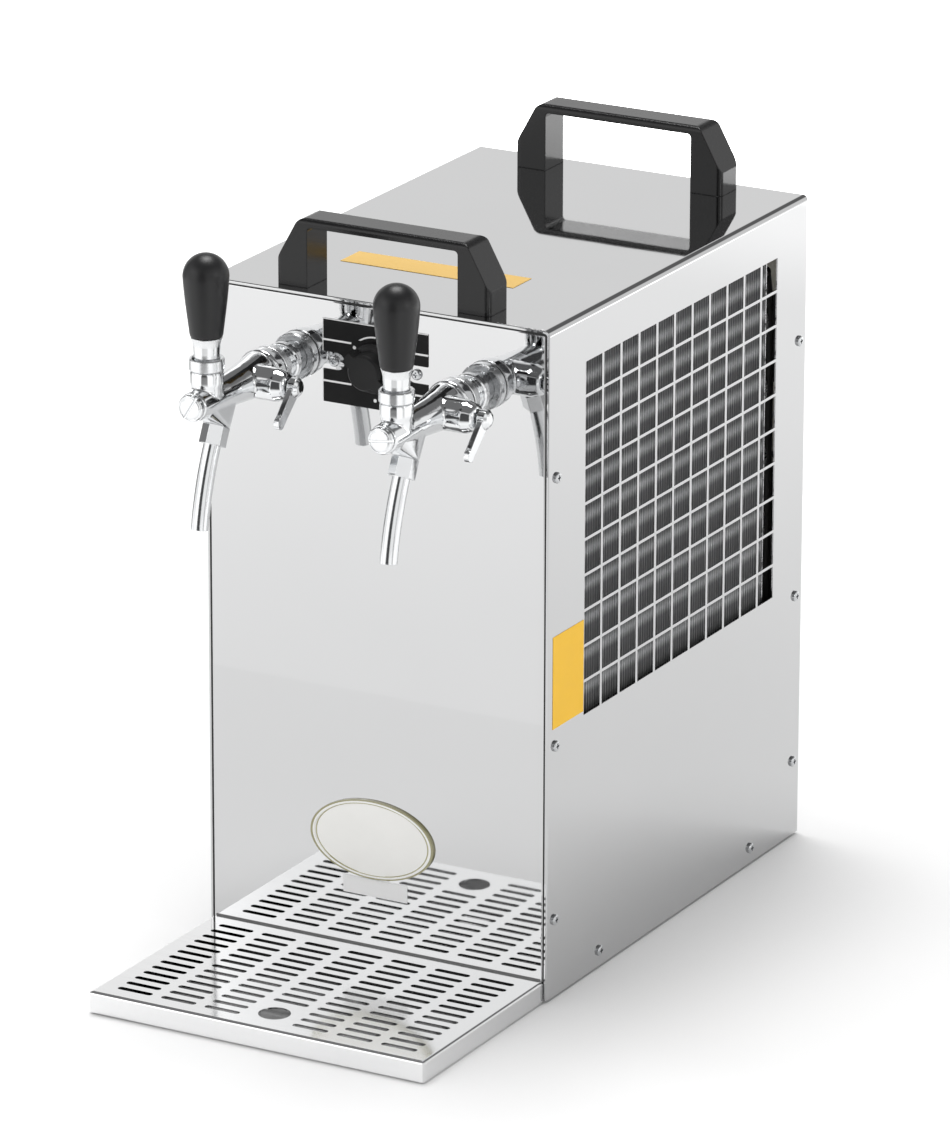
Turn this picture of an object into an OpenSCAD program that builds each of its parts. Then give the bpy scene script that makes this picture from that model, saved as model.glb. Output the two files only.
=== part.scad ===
// Draught beer dispenser for the counter: a dry block cooler in a polished steel casing,
// with two compensator taps, a thermostat, a loose drip tray and two carrying handles.
// Millimetres, +Z up, +X to the right seen from the front, the taps face -Y.

/* [Casing] */
// Width over the cover
casing_w = 275; // [260:1:320]
// Depth from the front panel to the rear edge of the cover
casing_d = 395; // [380:1:450]
// Height of the top sheet above the counter
casing_h = 495; // [485:1:550]
// Thickness of the cover and panel sheet
sheet = 1; // [0.8:0.1:1.3]
// Outer radius of the cover's top bends
bend_r = 4.5; // [3.5:0.5:6]
// Length of the folded hems at the cover's front and rear edges
hem = 8; // [5:1:8]
// Radius of the bends round the front and rear panels
panel_bend_r = 2; // [1.5:0.5:4]
// Radius of the top corners of the front and rear panels
panel_corner_r = 5; // [4:0.5:8]
// Depth of the flanges of the front and rear panels
flange = 22; // [18:1:28]
// Clearance between sheets that slide into each other
slip = 0.3; // [0.2:0.05:0.5]
// Height of the cover's lower edge above the counter
skirt_gap = 1.5; // [1:0.5:3]
// Height of the lower edge of the front and rear panels
panel_gap = 2.4; // [2.2:0.1:4]

/* [Base] */
// Height of the rubber feet, and so of the base plate
foot_h = 6; // [5:0.5:9]
// Radius of a rubber foot
foot_r = 14; // [10:1:18]
// Distance of the feet from the casing's front and rear
foot_inset = 45; // [40:1:60]
// Distance of the feet from the casing's sides
foot_side = 32; // [28:1:45]
// Thickness of the base plate
base_t = 1.2; // [1:0.1:2]
// Height of the base plate's side flanges
base_flange_h = 22; // [18:1:28]

/* [Grille] */
// Number of grille holes from front to rear
grille_columns = 11; // [8:1:11]
// Number of grille holes from top to bottom
grille_rows = 10; // [7:1:10]
// Side of a square grille hole
grille_hole = 24; // [18:0.5:25]
// Spacing of the grille columns
grille_pitch_y = 27; // [26:0.2:27.4]
// Spacing of the grille rows
grille_pitch_z = 26.2; // [25.5:0.1:27]
// Distance from the front panel to the grille
grille_front = 53; // [48:1:60]
// Distance from the top sheet down to the grille
grille_drop = 35.5; // [30:0.5:45]

/* [Screws] */
// Radius of the screw heads
screw_head_r = 4; // [3:0.25:5]
// Height of the screw heads
screw_head_h = 2.2; // [1.5:0.1:3]
// Radius of the screw shanks
screw_r = 1.75; // [1.25:0.05:2]
// Length of the screw shanks
screw_len = 8; // [6:0.5:12]
// Radial clearance of a screw in its hole
screw_play = 0.25; // [0.15:0.05:0.4]
// Distance of the edge screws from the front and rear
edge_screw_inset = 11; // [10:0.5:14]
// Heights of the edge screws
edge_screw_z1 = 60; // [40:1:90]
edge_screw_z2 = 190; // [150:1:195]
edge_screw_z3 = 387; // [300:1:420]
// Distance of the bottom screws from the front and rear
base_screw_inset = 79; // [60:1:110]
// Height of the bottom screws
base_screw_z = 13.5; // [12:0.5:18]

/* [Handles] */
// Length of a carrying handle
handle_w = 170; // [150:1:200]
// Height of a carrying handle
handle_h = 50; // [42:1:60]
// Width of the grip from front to rear
handle_t = 28; // [22:1:34]
// Width of a handle leg at its foot
leg_w = 25; // [20:1:30]
// Thickness of the grip bar
bar_t = 6; // [5:0.5:9]
// Height of the upright part of a leg
leg_upright = 17.5; // [12:0.5:22]
// How far the outside of a leg leans in
leg_lean = 18; // [10:0.5:18]
// Rounding of the grip's edges
grip_r = 4; // [2:0.5:5]
// Distance of the handles from the casing's front and rear
handle_inset = 9; // [8:0.5:20]

/* [Taps] */
// Distance of each tap from the middle
tap_x = 75; // [70:0.5:80]
// Distance of the tap axis below the top sheet
tap_drop = 53.5; // [50:0.5:70]
// Distance of the lever socket in front of the panel
head_f = 103; // [98:0.5:110]
// Distance of the front cap in front of the panel
cap_f = 126.5; // [122:0.5:134]
// Radius of the threaded shank
shank_r = 11.45; // [10.5:0.05:12]
// Radius of the beer way in the shank
beer_r = 4; // [3:0.25:5]
// Distance of the collar's rear face from the panel
collar_f = 14.5; // [12:0.5:17]
// Radius of the collar nut
collar_r = 17; // [16:0.25:20]
// Length of the collar nut
collar_len = 17.5; // [16:0.5:22]
// Radius of the compensator boss
boss_r = 12; // [11:0.25:13]
// Reach of the compensator boss from the tap axis
boss_reach = 33; // [30:0.5:36]
// Distance of the compensator axis in front of the panel
boss_f = 48; // [46:0.5:52]
// Radius of the lever socket
socket_r = 11.75; // [11.25:0.05:12.25]
// Height of the socket's top above the tap axis
socket_top = 22.1; // [21:0.1:24]
// Radius of the bonnet nut on the socket
bonnet_r = 12.45; // [12:0.05:14]
// Height of the bonnet nut
bonnet_h = 8.6; // [8:0.1:10]
// Angle that the lever is pulled through
lever_swing = 30; // [20:1:30]
// Radius of the lever's ball
ball_r = 9.2; // [8.6:0.1:9.4]
// Length of the lever below its pin
lever_tail = 11; // [10:0.25:11.5]
// Largest radius of the lever knob
knob_r = 16.2; // [14:0.1:19]
// Radius of the foot of the lever knob
knob_foot_r = 10.7; // [10.2:0.1:12]
// Height of the top of the knob above the tap axis
knob_top = 105.5; // [95:0.5:115]
// Outer radius of the spout tube
spout_r = 6.3; // [5.8:0.1:7.5]
// Wall of the spout tube
spout_wall = 1.2; // [0.8:0.1:1.6]
// Radius of the spout's curve
spout_curve = 200; // [150:5:260]
// Lean of the spout at its top
spout_lean_top = 26; // [20:1:30]
// Lean of the spout at its mouth
spout_lean_end = 9; // [5:1:14]
// Half of the turn of the flow lever
flow_turn = 60; // [40:5:60]
// Length of the flow lever's arm
flow_arm = 34; // [26:1:40]
// Throw of the flow lever's eccentric pin
flow_throw = 2.2; // [1.5:0.1:2.3]

/* [Badge and labels] */
// Width of the oval badge
badge_w = 100; // [80:1:110]
// Height of the oval badge
badge_h = 59; // [48:0.5:64]
// Height of the badge's middle
badge_z = 98; // [98:1:140]
// Distance of the badge's middle left of the casing's middle
badge_left = 3; // [0:0.5:10]
// Thickness of the badge
badge_t = 2; // [1.2:0.1:3]
// Thickness of the blank labels
label_t = 0.3; // [0.1:0.05:0.5]

/* [Thermostat] */
// Width of the black dial plate
plate_w = 84; // [76:1:92]
// Height of the black dial plate
plate_h = 60.5; // [54:0.5:68]
// Thickness of the black dial plate
plate_t = 0.8; // [0.5:0.1:1.2]
// Distance of the plate's middle below the top sheet
plate_drop = 46.3; // [42:0.1:52]
// Distance of the thermostat screws from the middle
plate_screw_x = 33; // [30:0.5:35]
// Radius of the thermostat knob
dial_r = 18; // [14:0.5:19]
// Height of the thermostat knob
dial_h = 17; // [13:0.5:20]

/* [Drip tray] */
// Distance of the grate's sides inside the casing's sides
tray_side = 2.5; // [1:0.5:10]
// Reach of the grate in front of the panel
tray_reach = 172; // [166:1:200]
// Height of the grate
tray_h = 16.2; // [14:0.1:22]
// Number of slot columns in the grate
slot_columns = 7; // [5:1:7]
// Number of slot rows in the grate
slot_rows = 13; // [10:1:13]
// Length of a slot
slot_len = 28; // [20:0.5:30]
// Width of a slot
slot_w = 5; // [4:0.25:6]
// Spacing of the slot columns
slot_pitch_x = 35.5; // [33:0.25:36]
// Spacing of the slot rows
slot_pitch_y = 11.6; // [10:0.1:11.8]
// Distance of the rear slots from the panel
slot_rear = 16.6; // [14:0.2:18]
// Radius of the finger hole in the grate
finger_r = 11.5; // [9:0.5:12]

/* [Cooling] */
// Width of the fin pack of the condenser
fin_depth = 42; // [36:1:44]
// Spacing of the condenser fins
fin_pitch = 3.6; // [3:0.1:5]
// Thickness of a condenser fin
fin_t = 0.5; // [0.3:0.05:0.8]
// Number of condenser tubes in each of its two rows
tube_count = 10; // [8:2:10]
// Spacing of the condenser tubes
tube_pitch = 25.4; // [24:0.1:25.4]
// Radius of the condenser tubes
tube_r = 4.75; // [4:0.05:5]
// Radius of the fan
fan_r = 82; // [70:1:84]
// Radius of the compressor can
comp_r = 62; // [54:1:64]
// Height of the compressor can
comp_h = 158; // [140:1:162]
// Distance of the compressor's axis from the casing's right side
comp_side = 85.5; // [82:0.5:90]
// Distance of the compressor's axis from the casing's rear
comp_rear = 112; // [108:1:120]
// Rear of the condenser fins to the rear of the casing
fin_rear = 57; // [54:1:80]
// Fan opening to the rear of the condenser fins
fan_inset = 21; // [15:1:30]
// Width of the aluminium cooling block
block_w = 144; // [120:1:148]
// Depth of the aluminium cooling block
block_d = 70; // [60:1:74]
// Height of the aluminium cooling block
block_h = 170; // [150:1:180]
// Thickness of the foam round the block
foam_t = 18; // [14:1:20]
// Outer radius of the beer tubes
beer_tube_r = 4.76; // [4:0.01:5]

/* [Rear fittings] */
// Reach of the rear fittings behind the casing
rear_reach = 22; // [18:0.5:30]
// Radius of the bore that takes a beer tube
inlet_bore_r = 4.8; // [4.8:0.05:5.2]
// Depth of the bore that takes a beer tube
inlet_bore_len = 16; // [12:0.5:17]
// Spacing of the two beer inlets
inlet_pitch = 36; // [32:1:44]
// Distance of the middle of the beer inlets from the casing's left side
inlet_side = 55.5; // [54:0.5:62]
// Height of the beer inlets
inlet_z = 110; // [90:1:130]
// Radius of the bore of the mains gland
gland_bore_r = 4; // [3:0.25:4.5]
// Distance of the mains gland from the casing's left side
gland_side = 37.5; // [30:0.5:60]
// Height of the mains gland
gland_z = 45; // [36:1:60]

/* [Hidden] */
$fn = 64;

steel = [0.86, 0.87, 0.88];
chrome = [0.80, 0.81, 0.83];
black = [0.09, 0.09, 0.10];
copper = [0.75, 0.45, 0.30];

// Small overshoot of every cut
cut = 1;
// Front panel's place, with the origin under the middle of the whole object
front_y = -(casing_d + rear_reach - tray_reach) / 2;
inner_w = casing_w - 2 * sheet;
panel_w = casing_w - 4 * sheet - 2 * slip;
panel_top = casing_h - 2 * sheet - slip;
base_z = foot_h + base_t;
tap_z = casing_h - tap_drop;
dial_z = casing_h - plate_drop;

// Screw places on a side, as [y, z]
edge_screws = [for (y = [edge_screw_inset, casing_d - edge_screw_inset])
    for (z = [edge_screw_z1, edge_screw_z2, edge_screw_z3]) [y, z]];
base_screws = [for (y = [base_screw_inset, casing_d - base_screw_inset]) [y, base_screw_z]];

// Handle places, as the front of each handle, and the screw of each leg
handle_fronts = [handle_inset, casing_d - handle_inset - handle_t];
handle_screw_x = handle_w / 2 - leg_w / 2;
handle_screw_r = 3;
handle_head_r = 5.5;
handle_thread = 14;

// Grille and what stands behind it
grille_top = casing_h - grille_drop;
grille_bottom = grille_top - (grille_rows - 1) * grille_pitch_z - grille_hole;
fin_gap = 4;
fin_x1 = casing_w / 2 - sheet - fin_gap;
fin_x0 = fin_x1 - fin_depth;
fin_y0 = grille_front - 6;
fin_y1 = casing_d - fin_rear;
fin_z0 = grille_bottom - 3;
fin_z1 = grille_top + 3;
end_plate_t = 1.5;
tube_x = [fin_x0 + fin_depth / 4, fin_x1 - fin_depth / 4];
tube_top = (fin_z0 + fin_z1) / 2 + (tube_count - 1) * tube_pitch / 2;
tube_y0 = fin_y0 - end_plate_t - 2;
tube_y1 = fin_y1 + end_plate_t + 2;
tube_stub = 12;
shroud_t = 1.2;
shroud_x = fin_x0 - shroud_t - slip;
fan_y = fin_y1 - fan_r - fan_inset;
fan_z = (fin_z0 + fin_z1) / 2;
fan_ring = 12;
ring_r = fan_r + 3;
ring_wall = 1.5;
fan_len = 22;
fan_x = shroud_x - 2 - fan_len;
motor_r = 34;
motor_len = 42;
motor_x = fan_x - 3 - motor_len;
fan_shaft_r = 4;

// Compressor, set at the rear under the condenser
comp_x = casing_w / 2 - comp_side;
comp_y = casing_d - comp_rear;
comp_foot_h = 10;
comp_z = base_z + comp_foot_h;
comp_foot = 48;
comp_plate_t = 3;

// Filter drier, upright at the rear
drier_y = casing_d - 30;
drier_z = 70;
drier_len = 80;

// Cooling block, hung in its foam behind the front panel
block_x = -30;
block_y = flange + 8 + foam_t;
block_z0 = casing_h - 95 - foam_t - block_h;
foam_z0 = block_z0 - foam_t;
foam_z1 = block_z0 + block_h + foam_t;
block_play = 0.3;
// Places where tubes enter the block, from below, from behind and from above
block_ports = [for (s = [-1, 1]) [block_x + s * 50, block_y + block_d / 2]];
suction_port = [block_x + 40, block_y + block_d, block_z0 + block_h - 30];
capillary_port = [block_x, block_y + block_d / 2, block_z0];

// Tap points, measured forward from the panel and up from the tap axis
pin_h = socket_top + slip + bonnet_h - 1.5;
pin_r = 1.25;
running = 0.05;
cone_h = 1.6;
cone_top = 16.5;
plunger_travel = lever_tail * sin(lever_swing);
spout_foot = [head_f - 6.2, -34.2];
spout_centre = spout_foot - spout_curve * [cos(spout_lean_top), sin(spout_lean_top)];
hex_r = 9.6;
hex_len = 14;
chamber_r = 9;
seat_f = 79;
flow_shaft_r = 3.9;
flow_arm_lean = 47;

// Drip tray
tray_w = casing_w - 2 * tray_side;
tray_t = 1.2;
grate_t = 1.2;
tray_base = 0.4;
tray_rim = tray_h - grate_t - slip;
tongue_x = 60;
tongue_w = 30;
tongue_len = 46;
tongue_t = 1.2;

inlet_x = -casing_w / 2 + inlet_side;
inlet_y = casing_d;
gland_x = -casing_w / 2 + gland_side;

// Frames

// Everything is drawn from the front panel's plane and moved here once
module place() {
    translate([0, front_y, 0]) children();
}

module at_tap(side) {
    place() translate([side * tap_x, 0, tap_z]) children();
}

// Cylinder's own +Z turned to +X, to +Y or forward to -Y
module along_x() {
    rotate([0, 90, 0]) children();
}

module along_y() {
    rotate([-90, 0, 0]) children();
}

module forward() {
    rotate([90, 0, 0]) children();
}

// Flat drawing of forward and up, standing in the tap's middle plane
module side_plane() {
    rotate([90, 0, -90]) children();
}

// Repeated shapes

// Bar from y0 to y1 whose two top edges are round
module arched(w, h, r, y0, y1) {
    d = y1 - y0;
    translate([-w / 2, y0, 0]) cube([w, d, h - r]);
    translate([-w / 2 + r, y0, 0]) cube([w - 2 * r, d, h]);
    for (s = [-1, 1])
        translate([s * (w / 2 - r), y0, h - r]) along_y() cylinder(r = r, h = d);
}

// Block whose upright edges are round
module upright_rounded(w, h, r, y0, y1) {
    translate([-w / 2, y0 + r, 0]) cube([w, y1 - y0 - 2 * r, h]);
    translate([-w / 2 + r, y0, 0]) cube([w - 2 * r, y1 - y0, h]);
    for (x = [-w / 2 + r, w / 2 - r])
        for (y = [y0 + r, y1 - r])
            translate([x, y, 0]) cylinder(r = r, h = h);
}

// Block whose front and rear top edges are round
module crest_rounded(w, h, r, y0, y1) {
    translate([-w / 2, y0, 0]) cube([w, y1 - y0, h - r]);
    translate([-w / 2, y0 + r, 0]) cube([w, y1 - y0 - 2 * r, h]);
    for (y = [y0 + r, y1 - r])
        translate([-w / 2, y, h - r]) along_x() cylinder(r = r, h = w);
}

// Bar with arched top corners and all its front and rear edges round
module soft_arched(w, h, corner_r, edge_r, y0, y1) {
    intersection() {
        arched(w, h, corner_r, y0, y1);
        upright_rounded(w, h, edge_r, y0, y1);
        crest_rounded(w, h, edge_r, y0, y1);
    }
}

// Straight rod between two points
module rod(a, b, r) {
    d = b - a;
    translate(a) rotate([0, acos(d[2] / norm(d)), atan2(d[1], d[0])]) cylinder(r = r, h = norm(d));
}

// Tube through a list of points, with an elbow bead at each bend
module bent_tube(points, r) {
    bead = 0.25;
    for (i = [0 : len(points) - 2]) rod(points[i], points[i + 1], r);
    for (i = [1 : 1 : len(points) - 2]) translate(points[i]) sphere(r = r + bead);
}

// Pan head screw with its shank along -Z and its head's seat at zero
module pan_screw(head_r, head_h, r, length) {
    slot_w = head_r / 3.5;
    difference() {
        union() {
            rotate_extrude() polygon(concat([[0, 0], [head_r, 0]],
                [for (a = [0 : 15 : 90])
                    [head_r * (0.55 + 0.45 * cos(a)), head_h * (0.35 + 0.65 * sin(a))]],
                [[0, head_h]]));
            translate([0, 0, -length]) cylinder(r = r, h = length + head_h / 4);
        }
        for (turn = [0, 90])
            rotate([0, 0, turn]) translate([-head_r / 2, -slot_w / 2, head_h / 3])
                cube([head_r, slot_w, head_h]);
    }
}

// Slot with round ends along X, cut downwards from above
module slot_x(length, width, h) {
    translate([-(length - width) / 2, -width / 2, 0]) cube([length - width, width, h]);
    for (s = [-1, 1]) translate([s * (length - width) / 2, 0, 0]) cylinder(r = width / 2, h = h);
}

// Holes for the screws of one list through both sides
module side_holes(list, r) {
    for (p = list)
        translate([-casing_w, p[0], p[1]]) along_x() cylinder(r = r, h = 2 * casing_w);
}

// Casing

module base_plate() {
    floor_w = panel_w - 2 * sheet - 2 * slip;
    wide_w = inner_w - 2 * slip;
    y0 = flange + 2 * slip;
    wide_d = casing_d - 2 * y0;
    color(steel) place() difference() {
        union() {
            translate([-floor_w / 2, sheet + slip, foot_h])
                cube([floor_w, casing_d - 2 * sheet - 2 * slip, base_t]);
            translate([-wide_w / 2, y0, foot_h]) cube([wide_w, wide_d, base_t]);
            for (s = [-1, 1])
                translate([s * (wide_w - base_t) / 2 - base_t / 2, y0, foot_h])
                    cube([base_t, wide_d, base_flange_h]);
            for (s = [-1, 1])
                translate([s * tongue_x - tongue_w / 2, sheet + slip, tray_base + tongue_t + slip])
                    cube([tongue_w, tongue_len + 4, foot_h - tray_base - tongue_t - slip]);
        }
        side_holes(base_screws, screw_r + screw_play);
        for (x = [-comp_foot, comp_foot])
            for (y = [-comp_foot, comp_foot])
                translate([comp_x + x, comp_y + y, 0])
                    cylinder(r = screw_r + screw_play, h = base_z + cut);
    }
}

module outer_cover() {
    color(steel) place() difference() {
        soft_arched(casing_w, casing_h, bend_r, sheet, 0, casing_d);
        arched(inner_w, casing_h - sheet, bend_r - sheet, hem, casing_d - hem);
        arched(inner_w - 2 * sheet, casing_h - 2 * sheet, bend_r - 2 * sheet, -cut, casing_d + cut);
        translate([-casing_w, -cut, -cut]) cube([2 * casing_w, casing_d + 2 * cut, cut + skirt_gap]);
        for (column = [0 : grille_columns - 1])
            for (row = [0 : grille_rows - 1])
                translate([-casing_w, grille_front + column * grille_pitch_y,
                    grille_bottom + row * grille_pitch_z])
                    cube([2 * casing_w, grille_hole, grille_hole]);
        side_holes(concat(edge_screws, base_screws), screw_r + screw_play);
        for (y = handle_fronts)
            for (s = [-1, 1])
                translate([s * handle_screw_x, y + handle_t / 2, casing_h - 2 * sheet])
                    cylinder(r = handle_screw_r + screw_play, h = 3 * sheet);
    }
}

// Pan of sheet steel open towards +Y, drawn from the front panel's plane
module panel_pan() {
    difference() {
        soft_arched(panel_w, panel_top, panel_corner_r, panel_bend_r, 0, flange + panel_bend_r);
        arched(panel_w - 2 * sheet, panel_top - sheet, panel_corner_r - sheet,
            sheet, flange + panel_bend_r + cut);
        translate([-casing_w, flange, -cut]) cube([2 * casing_w, flange, casing_h + 2 * cut]);
        translate([-casing_w, -cut, -cut]) cube([2 * casing_w, flange + 2 * cut, panel_gap + cut]);
        for (s = [-1, 1])
            translate([s * handle_screw_x, handle_inset + handle_t / 2, panel_top - 3 * sheet])
                cylinder(r = handle_head_r + cut, h = 4 * sheet);
    }
}

module front_panel() {
    color(steel) place() difference() {
        panel_pan();
        side_holes(edge_screws, screw_r + screw_play);
        for (s = [-1, 1])
            translate([s * tap_x, -cut, tap_z]) along_y()
                cylinder(r = shank_r + screw_play, h = sheet + 2 * cut);
        translate([0, -cut, dial_z]) along_y() cylinder(r = 5, h = sheet + 2 * cut);
        for (s = [-1, 1])
            translate([s * plate_screw_x, -cut, dial_z]) along_y()
                cylinder(r = screw_r + screw_play, h = sheet + 2 * cut);
    }
}

module rear_panel() {
    louvre_rows = 9;
    louvre_w = 150;
    color(steel) place() difference() {
        translate([0, casing_d, 0]) mirror([0, 1, 0]) panel_pan();
        side_holes(edge_screws, screw_r + screw_play);
        for (s = [-1, 1])
            translate([inlet_x + s * inlet_pitch / 2, casing_d - 2, inlet_z]) along_y()
                cylinder(r = 9.2, h = 4);
        translate([gland_x, casing_d - 2, gland_z]) along_y() cylinder(r = 8.2, h = 4);
        for (row = [0 : louvre_rows - 1])
            translate([0, casing_d + cut, fan_z - (row - (louvre_rows - 1) / 2) * 22]) forward()
                slot_x(louvre_w, 8, sheet + 2 * cut);
    }
}

module rubber_feet() {
    color(black) place()
        for (x = [-1, 1])
            for (y = [foot_inset, casing_d - foot_inset])
                translate([x * (casing_w / 2 - foot_side), y, 0]) rotate_extrude()
                    polygon([[0, 0], [foot_r - 2, 0], [foot_r, 2], [foot_r, foot_h], [0, foot_h]]);
}

module cover_screws() {
    color(chrome) place()
        for (p = concat(edge_screws, base_screws))
            for (s = [-1, 1])
                translate([s * casing_w / 2, p[0], p[1]]) rotate([0, s * 90, 0])
                    pan_screw(screw_head_r, screw_head_h, screw_r, screw_len);
}

// Handles

// Points of an arc in a flat outline
function arc(centre, r, from, to, steps) =
    [for (i = [0 : steps]) let (a = from + (to - from) * i / steps) centre + r * [cos(a), sin(a)]];

// Bridge handle from its foot up, with its legs along X and its front at zero
module bridge_handle() {
    slope = atan2(handle_h - leg_upright, leg_lean);
    top_r = 8;
    shoulder = handle_w / 2 - leg_lean;
    side = concat([[handle_w / 2, 0], [handle_w / 2, leg_upright]],
        arc([shoulder - top_r * tan(slope / 2), handle_h - top_r], top_r, 90 - slope, 90, 6));
    outline = concat(side, [for (i = [len(side) - 1 : -1 : 0]) [-side[i][0], side[i][1]]]);
    gap = handle_w - 2 * leg_w;
    difference() {
        intersection() {
            translate([0, handle_t, 0]) forward() linear_extrude(handle_t) polygon(outline);
            crest_rounded(handle_w, handle_h, grip_r, 0, handle_t);
            upright_rounded(handle_w, handle_h, grip_r, 0, handle_t);
        }
        arched(gap, handle_h - bar_t, 3, -cut, handle_t + cut);
        for (s = [-1, 1])
            translate([s * handle_screw_x, handle_t / 2, -cut])
                cylinder(r = handle_screw_r + screw_play, h = handle_thread + 2 * cut);
    }
}

module front_handle() {
    color(black) place() translate([0, handle_fronts[0], casing_h]) bridge_handle();
}

module rear_handle() {
    color(black) place() translate([0, handle_fronts[1], casing_h]) bridge_handle();
}

module handle_screws() {
    color(chrome) place()
        for (y = handle_fronts)
            for (s = [-1, 1])
                translate([s * handle_screw_x, y + handle_t / 2, casing_h - sheet]) mirror([0, 0, 1])
                    pan_screw(handle_head_r, 4, handle_screw_r, sheet + handle_thread);
}

// Badge, labels and thermostat

// Flat oval of a given width and height
module oval(w, h) {
    polygon([for (a = [0 : 5 : 355]) [w / 2 * cos(a), h / 2 * sin(a)]]);
}

module badge_plate() {
    rim = 3;
    sunk = 0.6;
    color([0.93, 0.90, 0.78]) place() translate([-badge_left, 0, badge_z]) forward() difference() {
        linear_extrude(badge_t) oval(badge_w, badge_h);
        translate([0, 0, badge_t - sunk]) linear_extrude(badge_t) oval(badge_w - 2 * rim, badge_h - 2 * rim);
    }
}

// Bare films where the real object carries its printed labels
module blank_labels() {
    front = [52, label_t, 13];
    side = [label_t, 45, 68];
    top = [139, 27, label_t];
    front_z = 54.5;
    side_at = [7, 203];
    top_at = [-74, 80];
    place() {
        color("white") translate([-1 - front[0] / 2, -label_t, front_z]) cube(front);
        color("gold") translate([casing_w / 2, side_at[0], side_at[1]]) cube(side);
        color("gold") translate([top_at[0], top_at[1], casing_h]) cube(top);
    }
}

module thermostat_plate() {
    notch_r = 6.5;
    notch_x = plate_screw_x - 2;
    reach = plate_w / 2 - notch_x + cut;
    color(black) place() difference() {
        translate([-plate_w / 2, -plate_t, dial_z - plate_h / 2]) cube([plate_w, plate_t, plate_h]);
        for (s = [-1, 1]) {
            translate([s * notch_x, cut, dial_z]) forward() cylinder(r = notch_r, h = plate_t + 2 * cut);
            translate([s * (notch_x + reach / 2) - reach / 2, -plate_t - cut, dial_z - notch_r])
                cube([reach, plate_t + 2 * cut, 2 * notch_r]);
        }
        translate([0, cut, dial_z]) forward() cylinder(r = 6, h = plate_t + 2 * cut);
    }
}

module thermostat_knob() {
    skirt_h = 5;
    grip_w = 9;
    back = plate_t + slip;
    color(black) place() translate([0, -back, dial_z]) forward() {
        rotate_extrude() polygon([[0, 0], [dial_r, 0], [dial_r, skirt_h - 1.5], [dial_r - 1.5, skirt_h],
            [dial_r - 4, skirt_h + 1], [dial_r - 5, dial_h - 1.5], [dial_r - 6.5, dial_h], [0, dial_h]]);
        intersection() {
            cylinder(r = dial_r - 0.5, h = dial_h);
            rotate([0, 0, 55]) translate([-grip_w / 2, -dial_r, 0]) cube([grip_w, 2 * dial_r, dial_h]);
        }
        translate([0, 0, -sheet - 24]) cylinder(r = 3, h = 25 + sheet);
    }
}

module thermostat_body() {
    box = [46, 34, 36];
    ear_t = 1.5;
    color([0.75, 0.76, 0.78]) place() difference() {
        union() {
            translate([-plate_screw_x - 6, sheet, dial_z - 7]) cube([2 * plate_screw_x + 12, ear_t, 14]);
            translate([-box[0] / 2, sheet, dial_z - box[2] / 2]) cube(box);
        }
        translate([0, sheet - cut, dial_z]) along_y() cylinder(r = 3 + running, h = 28);
        for (s = [-1, 1])
            translate([s * plate_screw_x, 0, dial_z]) along_y()
                cylinder(r = screw_r + screw_play, h = 6);
    }
}

module thermostat_screws() {
    color(chrome) place()
        for (s = [-1, 1])
            translate([s * plate_screw_x, 0, dial_z]) forward()
                pan_screw(screw_head_r, screw_head_h, screw_r, screw_len);
}

// Cooling plant

module compressor() {
    dome = 22;
    port = 5;
    shell = comp_r - 2;
    seam = comp_h * 0.45;
    strap = 2 * comp_foot * sqrt(2) + 16;
    color(black) place() translate([comp_x, comp_y, comp_z]) difference() {
        union() {
            rotate_extrude() polygon(concat([[0, 0], [comp_r - 10, 0], [shell, 8], [shell, seam],
                [comp_r, seam], [comp_r, seam + 5], [shell, seam + 5]],
                [for (a = [0 : 10 : 90]) [shell * cos(a), comp_h - dome + dome * sin(a)]]));
            for (turn = [45, 135])
                rotate([0, 0, turn]) translate([-strap / 2, -11, 0]) cube([strap, 22, comp_plate_t]);
            translate([-23, -comp_r - 16, comp_h * 0.52]) cube([46, 22, 44]);
            translate([0, 0, comp_h * 0.7]) along_y() cylinder(r = port + 2, h = comp_r + 6);
            translate([-comp_r - 6, 0, comp_h * 0.62]) along_x() cylinder(r = port + 3, h = comp_r);
        }
        for (x = [-comp_foot, comp_foot])
            for (y = [-comp_foot, comp_foot])
                translate([x, y, -cut]) cylinder(r = 5, h = comp_plate_t + 2 * cut);
    }
}

module compressor_mounts() {
    top = comp_foot_h + comp_plate_t;
    color([0.16, 0.16, 0.17]) place()
        for (x = [-comp_foot, comp_foot])
            for (y = [-comp_foot, comp_foot])
                translate([comp_x + x, comp_y + y, base_z]) rotate_extrude()
                    polygon([[0, -base_t - 2], [screw_r, -base_t - 2], [screw_r, 0], [9, 0],
                        [9, comp_foot_h], [4.8, comp_foot_h], [4.8, top], [8, top],
                        [8, top + 3], [4, top + 5], [0, top + 5]]);
}

module condenser_frame() {
    leg = 14;
    rail_h = 11;
    sill = fin_z0 - 14;
    width = fin_depth + 2 * slip;
    length = fin_y1 - fin_y0 + 2 * end_plate_t;
    color(steel) place() {
        for (y = [fin_y0 - end_plate_t, fin_y1]) {
            translate([fin_x0 - slip, y, sill]) cube([width, end_plate_t, fin_z1 + 2 - sill]);
            translate([fin_x1 + slip - leg, y, base_z]) cube([leg, end_plate_t, fin_z0 - base_z]);
        }
        for (x = [fin_x0 - slip, fin_x1 + slip - end_plate_t])
            translate([x, fin_y0 - end_plate_t, sill]) cube([end_plate_t, length, rail_h]);
    }
}

module condenser_fins() {
    count = floor((fin_y1 - fin_y0 - fin_t) / fin_pitch);
    first = (fin_y0 + fin_y1 - count * fin_pitch) / 2;
    color([0.30, 0.31, 0.33]) place()
        for (i = [0 : count])
            translate([fin_x0, first + i * fin_pitch - fin_t / 2, fin_z0])
                cube([fin_depth, fin_t, fin_z1 - fin_z0]);
}

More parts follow.
